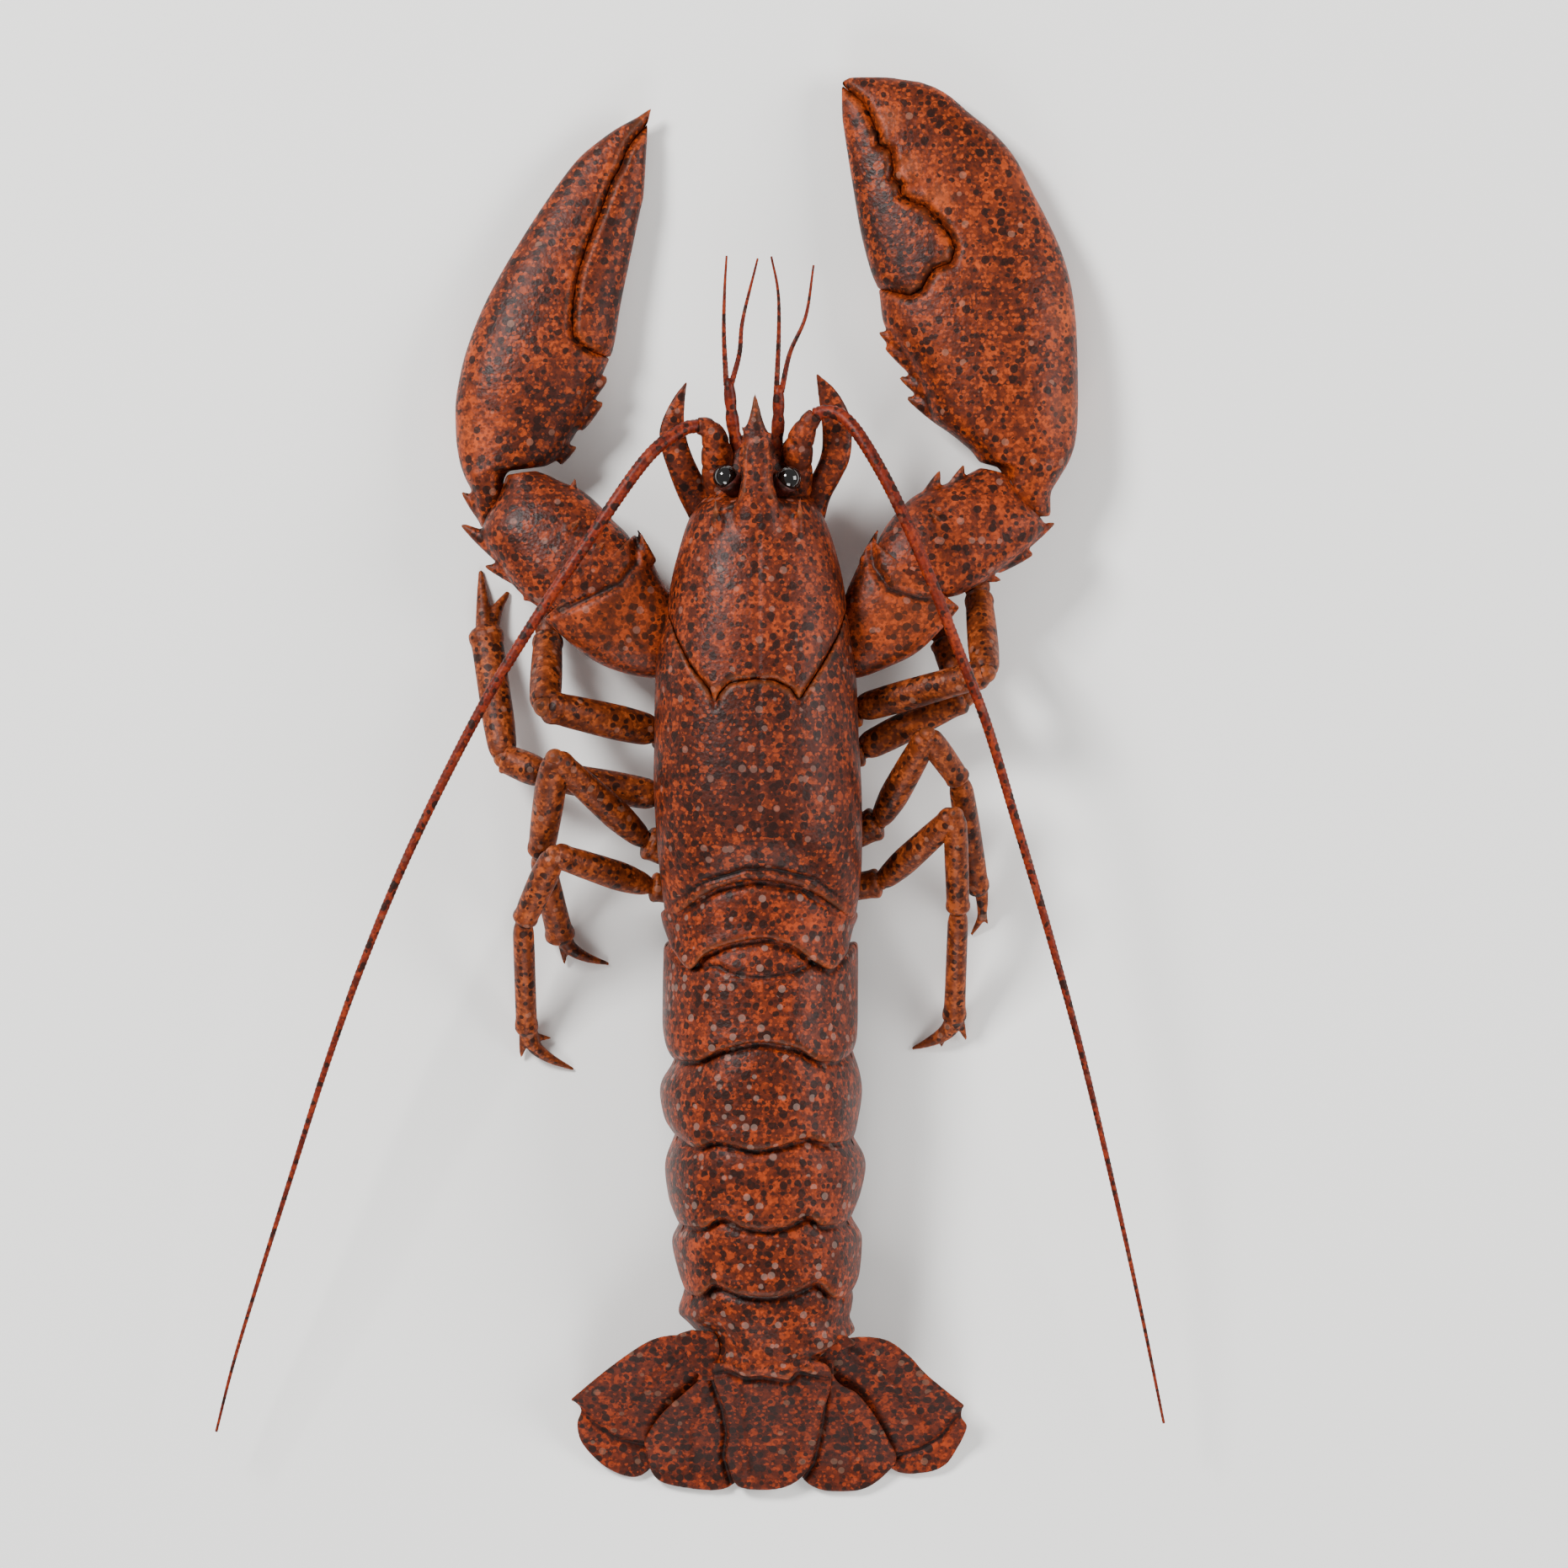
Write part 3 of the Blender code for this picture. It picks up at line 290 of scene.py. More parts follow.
def shell_material(name, browns, spots, pale, roughness=0.46, dots=0.12, pits=0.3, wear=0.5):
    """Calcified chitin of a live lobster: overlapping round dabs of pigment over a mottled ground.

    browns are the ground from dark to bright, spots the shares of large and small dark spots, dots
    the share of spots in the pale colour, pits the depth of its pores, and wear is how much lighter
    its ridges are.
    """
    material = bpy.data.materials.new(name)
    material.use_nodes = True
    tree = material.node_tree
    shader = tree.nodes["Principled BSDF"]
    place = node(tree, "TexCoord", {}, out="Object")
    in_mm = node(tree, "Mapping", {"Vector": place, "Scale": [1 / MM] * 3})
    dusk = node(tree, "Attribute", {}, out="Fac", attribute_name="dusk")
    hollow = node(tree, "Attribute", {}, out="Fac", attribute_name="hollow")

    # The ground: clouds some 20 mm wide, which the patches shift, and a mottle of 3 mm over them.
    cloud = node(tree, "TexNoise", {"Vector": in_mm, "Scale": 0.045, "Detail": 5.0, "Roughness": 0.65})
    calm = node(tree, "MapRange", {"Value": cloud, "To Min": 0.22, "To Max": 0.78})
    light = node(tree, "Math", {0: dusk, 1: -0.2, 2: calm}, operation="MULTIPLY_ADD")
    mottle = node(tree, "TexNoise", {"Vector": in_mm, "Scale": 0.3, "Detail": 3.0})
    level = node(tree, "Math", {0: mottle, 1: 0.5, 2: light}, operation="MULTIPLY_ADD")
    stops = [(at, colour(brown)) for at, brown in zip((0.52, 0.66, 0.8, 0.95), browns)]
    shade = node(tree, "ValToRGB", {"Fac": level}, stops)

    # Each layer of dabs: cells per mm, radius in cells, share of cells, colour, strength, and how much
    # more of them a dark place has.
    layers = [
        (0.30, 0.50, 0.50, browns[3], 0.5, -0.3),
        (0.36, 0.46, 0.50, browns[1], 0.6, 0.25),
        (0.45, 0.46, 0.45, browns[2], 0.65, -0.2),
        (0.40, 0.44, 0.38, browns[0], 0.45, 0.35),
        (0.80, 0.46, 0.42, browns[3], 0.5, -0.25),
        (0.62, 0.46, 0.45, browns[1], 0.6, 0.2),
        (0.95, 0.44, 0.40, browns[0], 0.5, 0.3),
        (0.34, 0.42, spots[0], "1F0B05", 0.92, 0.35),
        (0.56, 0.42, spots[1], "220D06", 0.9, 0.35),
        (0.34, 0.36, dots, pale, 0.3, 0.0),
    ]
    for n, (scale, radius, share, tint, strength, lean) in enumerate(layers):
        moved = node(tree, "Mapping", {"Vector": in_mm, "Location": (7.3 * n, -4.1 * n, 2.9 * n)})
        away = node(tree, "TexVoronoi", {"Vector": moved, "Scale": scale}, out="Distance")
        inside = node(tree, "ValToRGB", {"Fac": away}, [(radius, strength), (radius + 0.05, 0.0)])
        chance = node(tree, "SeparateColor", {"Color": away.node.outputs["Color"]}, out="Green")
        rule = {0: light, 1: -lean * 2, 2: share + lean}
        limit = node(tree, "Math", rule, operation="MULTIPLY_ADD")
        chosen = node(tree, "Math", {0: chance, 1: limit}, operation="LESS_THAN")
        amount = node(tree, "Math", {0: inside, 1: chosen}, operation="MULTIPLY")
        mixed = {"Factor": amount, 6: shade, 7: colour(tint)}
        shade = node(tree, "Mix", mixed, out=2, data_type="RGBA")

    # Dark and light patches, some of them painted shade and painted light, painted shade in the hollows
    # and wear on the ridges: from which value to which it grows, how strong it gets, and its colour.
    steps = [
        (dusk, 0.35, 1.3, 0.35, "2A1C1C"),
        (dusk, -0.2, -1.2, 0.5, "B0603A"),
        # painted shade: creases and grooves go nearly black, where shade falls
        (hollow, 0.006, 0.05, 0.9, "0E0503"),
        (hollow, -0.025, -0.1, wear, "A0562C"),
    ]
    for source, low, high, most, tint in steps:
        reach = {"Value": source, "From Min": low, "From Max": high, "To Max": most}
        mixed = {"Factor": node(tree, "MapRange", reach), 6: shade, 7: colour(tint)}
        shade = node(tree, "Mix", mixed, out=2, data_type="RGBA")
    tree.links.new(shade, shader.inputs["Base Color"])

    pore = node(tree, "TexVoronoi", {"Vector": in_mm, "Scale": 0.9}, out="Distance")
    grain = node(tree, "TexNoise", {"Vector": in_mm, "Scale": 1.6, "Detail": 3.0})
    height = node(tree, "Math", {0: pore, 1: grain}, operation="ADD")
    bump = node(tree, "Bump", {"Height": height, "Strength": pits, "Distance": 0.3 * MM})
    tree.links.new(bump, shader.inputs["Normal"])
    gloss = node(tree, "ValToRGB", {"Fac": cloud}, [(0.3, roughness - 0.06), (0.7, roughness + 0.1)])
    tree.links.new(gloss, shader.inputs["Roughness"])
    shader.inputs["IOR"].default_value = 1.5
    shader.inputs["Specular IOR Level"].default_value = 0.18
    return material


# Brick red under brown spots, satin, with painted shade making it darkest in the grooves.
CARAPACE_SHELL = shell_material(
    "carapace chitin, mottled brown", ("260D05", "431709", "64240D", "A84216"), (0.3, 0.28), "9A7264",
)
# Sections of the shield: y, middle x, half width, top, height of the widest place, bottom.
CARAPACE = [
    (-37, 0.8, 27.4, 49.8, 27, 13),
    (-28.4, 0.8, 28.2, 53.1, 28, 12),
    (-22, 0.9, 29.4, 57.2, 29, 10.5),
    (-14, 0.6, 30.3, 60.6, 30, 9.5),
    (0, 0, 30.8, 61.5, 31, 9),
    (15, -0.4, 30.3, 61.2, 31, 9.5),
    (30, -0.6, 29.9, 60.4, 31, 10),
    (40, -0.8, 28.9, 59.6, 31, 11),
    (50, -0.2, 26.9, 58.7, 31, 12.5),
    (60, -0.2, 25.6, 57.2, 31.5, 14.5),
    (70.6, -0.2, 23, 55.2, 32, 17),
    (79, -0.3, 20.2, 52.8, 32, 19),
    (83.5, -0.2, 17.5, 51.2, 32, 20),
    (86, 0, 15.5, 44, 32, 21),
    (87.5, 0, 14.5, 43, 33, 22),
    (98, 0, 10.5, 42, 34, 27),
    (104, 0, 5.5, 40.5, 36, 31),
]
HIND_SWEEP = -10.5  # how far back the sides of the hind rings bend, fully so from SWEPT_Y on
UNSWEPT_Y = 12
SWEPT_Y = -28
FRONT_SECTIONS = [80.5, 82, 83.5, 84.4, 85.2, 86, 87.5, 90, 93, 96, 99, 101.5, 103, 104]
NECK_GROOVE = [
    (34, 60), (26.2, 52.5), (23.8, 45), (19, 36), (14.5, 29), (12.2, 25), (10, 28.6), (5, 31.3),
    (-1, 31.6), (-8.3, 30.6), (-11.4, 27.2), (-12.5, 23.4), (-14, 28.4), (-19.5, 35.2), (-23.5, 43),
    (-26.6, 51.5), (-34, 60),
]


def cut_out(obj, block, operation):
    """Cuts a closed body by a block with one Boolean."""
    cutting = obj.modifiers.new("cutting", "BOOLEAN")
    cutting.operation = operation
    cutting.object = block
    settle(obj)


def block_along(line, outside, low=-10, high=100):
    """An upright block: one side follows a line seen from above, the other corners are given."""
    bm = bmesh.new()
    under = bm.faces.new([bm.verts.new((p[0], p[1], low)) for p in [*line, *outside]])
    raised = bmesh.ops.extrude_face_region(bm, geom=[under])["geom"]
    lifted = [v for v in raised if isinstance(v, bmesh.types.BMVert)]
    bmesh.ops.translate(bm, verts=lifted, vec=(0, 0, high - low))
    bmesh.ops.recalc_face_normals(bm, faces=bm.faces)
    return shell_object("block", bm)


def part_along(whole, name, line, outside):
    """Parts a body along a line into two that meet edge to edge."""
    block = block_along(line, outside)
    piece = whole.copy()
    piece.data = whole.data.copy()
    piece.name = name
    bpy.context.scene.collection.objects.link(piece)
    cut_out(piece, block, "INTERSECT")
    cut_out(whole, block, "DIFFERENCE")
    bpy.data.objects.remove(block, do_unlink=True)
    return piece


def add_forms(obj, bm):
    """Adds the closed forms of a bmesh to an object's mesh."""
    extra = bpy.data.meshes.new("extra")
    bm.to_mesh(extra)
    bm.free()
    whole = bmesh.new()
    whole.from_mesh(obj.data)
    whole.from_mesh(extra)
    whole.to_mesh(obj.data)
    whole.free()
    bpy.data.meshes.remove(extra)


ASIDE = 45  # further to the side than any ring reaches
BEHIND = 60  # further back than any ring reaches past its rim


def cut_behind(obj, rim):
    """Cuts a ring of shell off behind its hind rim, a line from left to right seen from above."""
    (first_x, first_y), (last_x, last_y) = rim[0], rim[-1]
    line = [(x, read(rim, x)) for x in np.linspace(first_x, last_x, 60)]
    right = [(ASIDE, last_y), (ASIDE, last_y - BEHIND)]
    left = [(-ASIDE, first_y - BEHIND), (-ASIDE, first_y)]
    block = block_along(line, right + left)
    cut_out(obj, block, "DIFFERENCE")
    bpy.data.objects.remove(block, do_unlink=True)


RIM_LINE = [
    (-28, -40), (-24.7, -38.4), (-11.6, -30.1), (-1, -27.7), (12.6, -29.8), (26.8, -38.7), (29, -40.5),
]
bm = bmesh.new()
rings = []
for y in [*np.linspace(-40, 79, 51), *FRONT_SECTIONS]:
    middle_x, half, top, side_z, bottom = (read(CARAPACE, y, k) for k in range(1, 6))
    ring = band(bm, (middle_x, y, side_z), half, top - side_z, side_z - bottom, 0.82, segments=72)
    sweep = HIND_SWEEP * min(max((UNSWEPT_Y - y) / (UNSWEPT_Y - SWEPT_Y), 0), 1) ** 1.5
    for vert in ring:
        vert.co.y += sweep * ((vert.co.x - middle_x) / half) ** 2
    rings.append(ring)
skin(bm, rings)
thorax = shell_object("thorax_shield", bm)
cut_behind(thorax, RIM_LINE)
head = part_along(thorax, "head_shield", NECK_GROOVE[::-1], [(60, 140), (-60, 140)])

BEAK_LEFT = [
    (-8, 70), (-6.5, 82), (-4.6, 92), (-4, 99), (-3.3, 106), (-2.3, 110), (-1.7, 114), (-1.1, 116.2),
]
BEAK_RIGHT = [
    (8, 70), (6.5, 82), (4.2, 92), (3.8, 98), (2.9, 104), (1.3, 109), (0.3, 113.6), (-0.6, 116.2),
]
BEAK_HEIGHTS = [(0, 51, 4.0, 4), (0.3, 51, 4.0, 4), (0.7, 50.5, 2.6, 4), (1, 52.5, 0.5, 0.6)]


def slab(bm, left, right, heights, count=24, corner=0.8, segments=28):
    """A form between two edges seen from above, with rows of (share of its length, middle z, up, down)."""
    rings = []
    for n, (a, b) in enumerate(zip(course(left, count), course(right, count))):
        level, up, down = (read(heights, n / (count - 1), k) for k in (1, 2, 3))
        rings.append(band(bm, (a + b) / 2 + UP * level, (b - a).length / 2, up, down, corner,
                          (b - a).normalized(), segments))
    skin(bm, rings)


BEAK_TEETH = [  # x and y of root and tip
    (-2.6, 101, -5.2, 107.2), (2.4, 99, 4.6, 105.6), (-3.4, 92, -6.4, 98.4), (3.2, 91.5, 5.9, 97.6),
]
bm = bmesh.new()
slab(bm, BEAK_LEFT, BEAK_RIGHT, BEAK_HEIGHTS, 30)
for x, y, tip_x, tip_y in BEAK_TEETH:
    thorn(bm, (x, y, 50.5), (tip_x, tip_y, 51.5), 1.4)
for side in (-1, 1):  # the spines behind the eyes and on the cheeks
    thorn(bm, (side * 12, 74, 51), (side * 12.6, 86, 52.5), 1.9)
    thorn(bm, (side * 17, 66, 45), (side * 18, 72, 46.5), 1.3)
add_forms(head, bm)
RIM_GROOVE = [
    (-27, -36), (-16.3, -28.5), (-3.7, -24.6), (4.7, -24.5), (16.8, -27.5), (23.1, -32), (30, -36.6),
]
BACK_LINE = [(0.6, -24), (0.2, 20), (0, 84)]
BROW_RIDGES = [
    [(-3.7, 100), (-3.9, 92), (-4.1, 86.5), (-6.2, 83.4), (-11.8, 81.3)],
    [(3.4, 99), (3.3, 91), (3.7, 86.3), (7, 82.6), (12.6, 80.6)],
]
for piece in (head, thorax):
    melt(piece, voxel=SHELL_VOXEL, rounds=8)
    press(piece, BACK_LINE, width=0.7, depth=0.35, over=40)
    press(piece, NECK_GROOVE, width=0.8, depth=0.8, over=30)
press(thorax, RIM_GROOVE, width=0.8, depth=1.4, over=25)
for ridge in BROW_RIDGES:
    press(head, ridge, width=1.1, depth=-1.0, over=40)
place_piece(head, CARAPACE_SHELL, "head", [(0, 103, 13, 0.7)])
place_piece(thorax, CARAPACE_SHELL, "thorax", [(0, 4, 34, 0.75)])

# Eyes. Each is a black faceted cornea, smooth as glass at this size, on a short movable stalk that
# sits in the orbit beside the beak.
SIDES = {"left": -1, "right": 1}
EYE_PLACES = {"left": (-9.6, 91.4, 46.5), "right": (9.2, 90.9, 46.5)}
# Black and wet, with one small sharp highlight.
CORNEA = bpy.data.materials.new("cornea, black and glossy")
CORNEA.use_nodes = True
shader = CORNEA.node_tree.nodes["Principled BSDF"]
shader.inputs["Base Color"].default_value = colour("0B0807")
shader.inputs["Roughness"].default_value = 0.08
shader.inputs["Coat Weight"].default_value = 0.6
# Smoother and darker than the shield, so that the eye stands out from it.
STALK_SHELL = shell_material(
    "eye stalk chitin, dark brown", ("240A05", "30100A", "421610", "541E12"), (0.3, 0.3), "6A4238",
    roughness=0.4, pits=0.1, wear=0.0,
)
for name, side in SIDES.items():
    centre = Vector(EYE_PLACES[name])
    bm = bmesh.new()
    ball(bm, centre, 3.7, 40, 24)
    place_piece(shell_object("eye_ball_" + name, bm), CORNEA, "eye_" + name)
    bm = bmesh.new()
    stalk = [centre + Vector((-side * k, -k * 1.2, -k * 0.75)) for k in (0.6, 1.6, 2.8, 4.5)]
    limb(bm, stalk, [3.85, 3.6, 3.0, 2.7], 28)
    place_piece(shell_object("eye_stalk_" + name, bm), STALK_SHELL)

# Feelers. The long antenna is a ringed whip on a three-jointed base beside a leaf-like scale; the
# two antennules between them are short forked feelers.
BASE_RADII = [(0, 5.2), (0.5, 4.9), (0.75, 3.9), (1, 2.5)]
BASE_JOINTS = (0.42, 0.66, 0.86)  # shares of the length
ANTENNA_BASES = {
    "left": [
        (-11, 84, 33), (-11.6, 92, 37), (-12, 98, 40), (-13, 103.4, 42.5), (-15.2, 106, 44.3),
        (-17.8, 106.4, 45),
    ],
    "right": [
        (10.5, 84, 33), (11.2, 92, 37), (11.4, 97.5, 40), (12.9, 103, 42.5), (15, 107.2, 44.3),
        (17, 109.8, 45),
    ],
}
ANTENNAE = {
    "left": [
        (-17.8, 106.4, 45), (-22.5, 105, 48), (-33, 96.4, 52), (-49.5, 73, 54), (-66.3, 48, 53),
        (-82.4, 21.4, 51), (-101.6, -16.6, 47), (-116, -50.5, 43), (-127.4, -82, 38),
        (-138.5, -116.6, 33), (-148.8, -149, 27), (-155.8, -172, 22), (-160.8, -191.6, 18),
    ],
    "right": [
        (17, 109.8, 45), (20.5, 110.6, 46.5), (25.2, 109, 48), (31, 102, 51), (40, 86, 54),
        (50, 63.4, 55), (58.8, 41, 55), (67.5, 18.4, 53), (76.2, -10.4, 50), (86.2, -44.1, 45),
        (95.8, -79.1, 39), (106, -121.6, 32), (113.8, -156.6, 25), (120.5, -189.1, 18),
    ],
}
SCALES = {
    "left": (
        [(-20.2, 79), (-23.8, 86.2), (-26.4, 93), (-28.4, 99), (-29.2, 104.6), (-27.6, 110),
         (-24.6, 115.5), (-21.3, 119.6)],
        [(-12, 80), (-14.5, 88), (-17.4, 93.6), (-19.4, 98), (-21, 103), (-21.7, 108.5), (-21.5, 114),
         (-20.9, 119.4)],
    ),
    "right": (
        [(19.8, 79), (21.4, 85), (24.6, 91), (27.4, 97.4), (27.8, 107), (25.8, 113), (22.4, 118),
         (17.5, 122.1)],
        [(12, 80), (14, 88), (17.2, 94.4), (18.8, 99), (19, 105), (18.4, 111), (17.8, 116),
         (17.2, 121.8)],
    ),
}
SCALE_HEIGHTS = [(0, 31, 5.0, 5.0), (0.25, 33.5, 3.2, 3.2), (0.55, 36, 1.6, 1.6), (1, 38, 0.6, 0.6)]
ANTENNULES = {
    "left": (
        [(-5.2, 98, 38), (-7.2, 106, 39.5), (-8.7, 120.6, 41)],
        [(-9.3, 118.5, 41), (-10, 133.4, 43), (-9.8, 146, 45), (-9.2, 156.6, 47)],
        [(-7.9, 118.5, 41), (-5.4, 128, 42), (-4.4, 138, 43), (0, 155.9, 45)],
    ),
    "right": (
        [(4.6, 97, 38), (5.9, 105, 39.5), (6.2, 118.6, 41)],
        [(5.5, 116.5, 41), (6.2, 133.4, 43), (6, 146, 45), (4, 156.4, 47)],
        [(7, 116.5, 41), (9.5, 128, 42), (14.2, 139, 43), (16.5, 153.9, 45)],
    ),
}
# Redder than the shield, clean, with a soft shine along the whip.
FEELER_SHELL = shell_material(
    "antenna chitin, red brown", ("300C05", "4E1509", "6E1F0B", "8C3210"), (0.3, 0.3), "7A4A38",
    roughness=0.45, pits=0.2, wear=0.0,
)


def taper(count, start, end, power=1.0, ringed=0.0):
    """Radii from one end of a limb to the other; ringed is how much narrower every second one is."""
    shares = [(n / (count - 1)) ** power for n in range(count)]
    return [(start + (end - start) * share) * (1 - ringed * (n % 2)) for n, share in enumerate(shares)]


for name in SIDES:
    bm = bmesh.new()
    radii = []
    for share in np.arange(31) / 30:
        joint = 1 - 0.14 * max(math.exp(-(((share - middle) / 0.018) ** 2)) for middle in BASE_JOINTS)
        radii.append(read(BASE_RADII, share) * joint)
    limb(bm, course(ANTENNA_BASES[name], 31), radii, 28)
    base = shell_object("antenna_foot_" + name, bm, voxel=0.4, rounds=2)
    place_piece(base, CARAPACE_SHELL, "antenna_base_" + name)

    bm = bmesh.new()
    limb(bm, course(ANTENNAE[name], 420), taper(420, 2.15, 0.45, 1.1, 0.1), 14)
    place_piece(shell_object("antenna_whip_" + name, bm), FEELER_SHELL, "antenna_" + name)

    bm = bmesh.new()
    slab(bm, *SCALES[name], SCALE_HEIGHTS, 30)
    scale = shell_object("antenna_scale_" + name, bm, voxel=0.35, rounds=3)
    place_piece(scale, CARAPACE_SHELL, "antennal_scale_" + name)

    bm = bmesh.new()
    stem, *branches = ANTENNULES[name]
    limb(bm, course(stem, 11), [2.1, 2.2, 2.1, 1.75, 2.0, 2.0, 1.6, 1.85, 1.8, 1.5, 1.3], 20)
    for points in branches:
        limb(bm, course(points, 60), taper(60, 0.95, 0.35, 1.0, 0.08), 10)
    place_piece(shell_object("antennule_fork_" + name, bm), FEELER_SHELL, "antennule_" + name)

# Jaw legs. The third pair of mouthparts, two jointed tubes of the same chitin as the legs, fringed
# with bristles. They hinge beside the mouth and lie folded forward under the head.
JAW_LEG = [(7.5, 56, 15), (9, 72, 13.5), (8.5, 88, 16), (5.2, 100, 25)]
JAW_RADII = [(0, 4.0), (0.3, 4.1), (0.6, 3.5), (0.85, 2.4), (1, 0.9)]
# Lighter and more orange than the body, with fewer spots.
LEG_SHELL = shell_material(
    "leg chitin, orange brown", ("301207", "50200C", "743212", "A64E20"), (0.2, 0.22), "98705E",
)
for name, side in SIDES.items():
    bm = bmesh.new()
    points = course([(side * x, y, z) for x, y, z in JAW_LEG], 28)
    limb(bm, points, [read(JAW_RADII, n / 27) for n in range(28)])
    jaw = shell_object("jaw_leg_" + name, bm, voxel=0.5, rounds=3)
    place_piece(jaw, LEG_SHELL, "maxilliped_" + name)

# Claws. The left one is the slim cutter with sharp teeth, the right one the heavy crusher with
# rounded molars. Each is a hard hollow hand with one movable finger hinged on its inner side.

# The outer and inner edge go as (y, x), the split between palm and finger as (x, y).
CUTTER_OUTER = [
    (201.8, -32), (199, -36), (196, -41.6), (191.6, -47.8), (187, -53.2), (180, -58.8), (171.4, -64.8),
    (162, -70.8), (153, -76.2), (144, -81), (134, -85.2), (124, -88.2), (112, -90), (104, -89.8),
    (97, -88.8), (92, -87.2), (86.5, -84.6), (82.5, -84), (76.6, -82.2),
]
CUTTER_INNER = [
    (201.8, -31.5), (197.4, -32.6), (190.6, -33), (182, -33.5), (176, -33.9), (170, -35.2), (156.6, -38),
    (143, -40.8), (130, -43), (125, -45), (118, -48.2), (110, -51.4), (103, -55.2), (98, -58.8),
    (95.4, -62), (94.4, -66), (93.6, -74.2), (90, -75.6), (84, -75.2), (79, -77.4), (76.6, -80),
]
CUTTER_SPLIT = [
    (-28, 200), (-32.6, 197.2), (-38.2, 190.6), (-41, 184), (-43.6, 179.4), (-46.8, 170.6),
    (-49.6, 163.8), (-52.4, 155.8), (-54, 149), (-54.9, 141), (-54.6, 133.6), (-50, 129.4), (-44, 127.4),
    (-36, 126.6),
]
CRUSHER_OUTER = [
    (210.9, 39), (210.2, 45.6), (207, 54.5), (200, 63.2), (194, 70.5), (186.4, 76.8), (177, 81.5),
    (168, 86.2), (159.6, 90), (151.6, 92.5), (143.4, 94), (133.6, 94.8), (115.4, 95.2), (108, 95),
    (101.6, 94.2), (96.6, 92.5), (91.4, 89.5), (86.4, 86.9), (79.6, 87),
]
CRUSHER_INNER = [
    (210.9, 27), (209.6, 24.7), (200, 24.9), (193, 25.8), (184, 27.2), (176, 28.5), (167, 30),
    (159, 31.8), (151.6, 34), (147, 35.9), (139, 36.9), (133, 39.4), (127, 43.6), (121, 47), (115, 49.4),
    (109, 51.6), (104, 58), (99, 63.8), (95.6, 66.4), (94.8, 71.2), (91, 73.1), (87, 73.3), (82.6, 75.4),
    (80.2, 79), (79.6, 82),
]
CRUSHER_SPLIT = [
    (20, 211), (25.2, 208.4), (31.5, 203), (34, 198), (35.8, 193.4), (36, 190.6), (39.6, 188.8),
    (40.4, 185), (40, 181), (42.4, 178.4), (42.6, 175.4), (46, 173.4), (50, 172), (54.2, 167.4),
    (57.2, 163.2), (58.5, 159.4), (57.3, 155.2), (52.5, 153.6), (50.5, 151), (48.6, 147.4), (45.2, 145.5),
    (41.5, 146.4), (36.8, 147.6), (28, 147.8),
]
# Heights along the claw: y, middle, and how far the shell reaches up and down from there.
FLAT = 0.7  # how far the round belly would sink if it weren't flat where it rests
CUTTER_HEIGHTS = [
    (76.6, 16, 4, 4), (86, 15.5, 7, 7), (94, 14.5, 8.5, 9), (106, 12.2, 10.6, 12.2 + FLAT),
    (122, 11.4, 11.4, 11.4 + FLAT), (146, 10, 9.6, 10.3), (176, 8.4, 6.2, 6), (196, 7.4, 3.2, 3.0),
    (201.6, 7, 0.9, 0.9),
]
CRUSHER_HEIGHTS = [
    (80, 17, 5, 5), (88, 16.5, 8, 8), (95, 16, 9.5, 10), (107, 14.6, 13, 14.6 + FLAT),
    (124, 13.8, 14.2, 13.8 + FLAT), (150, 12.6, 13, 13), (179, 11, 9.4, 9.4), (199, 10, 6, 6),
    (208, 9.4, 3.4, 3.4), (210.9, 9.2, 1, 1),
]
CLAWS = {  # edges, heights, and the y of the hind end and of the tip
    "left": (CUTTER_OUTER, CUTTER_INNER, CUTTER_HEIGHTS, (76.8, 201.6)),
    "right": (CRUSHER_OUTER, CRUSHER_INNER, CRUSHER_HEIGHTS, (80, 210.9)),
}
# Spines on the inner edge and the wrist end: root, tip, radius.
CLAW_SPINES = {
    "left": [
        ((-51, 117.4, 13), (-44.6, 121.4, 14), 3.8), ((-52.6, 109.8, 13), (-46, 114.2, 14), 3.6),
        ((-58.6, 98.4, 14), (-53.6, 101, 15), 2.6), ((-82.4, 82.4, 16), (-88, 87.4, 16), 2.8),
    ],
    "right": [
        ((43, 131, 15), (35.8, 134.8, 15.5), 3), ((47, 125.4, 15), (37.8, 130.4, 15.5), 3.8),
        ((50.6, 117.4, 15), (42, 121.4, 15.5), 3.4), ((53, 111.4, 15), (44.2, 115.4, 15.5), 3.4),
    ],
}
# Rounded molars (x, y, z, radius) line the crusher's fixed finger, small sharp teeth the cutter's.
CLAW_TEETH = {
    "left": [
        (-42.6, 184, 11.2, 1.5), (-45.4, 177.6, 12.8, 1.5), (-48.2, 171, 14.2, 1.6),
        (-51, 164.6, 15.6, 1.6), (-53.6, 158, 17, 1.7), (-55.6, 151.4, 17.8, 1.7),
    ],
    "right": [
        (38.6, 193.2, 14.6, 2.6), (42.2, 186, 16.4, 2.9), (45, 179.6, 17.6, 3.1),
        (50.4, 175.2, 18.6, 3), (57.6, 168.4, 19.4, 3),
    ],
}
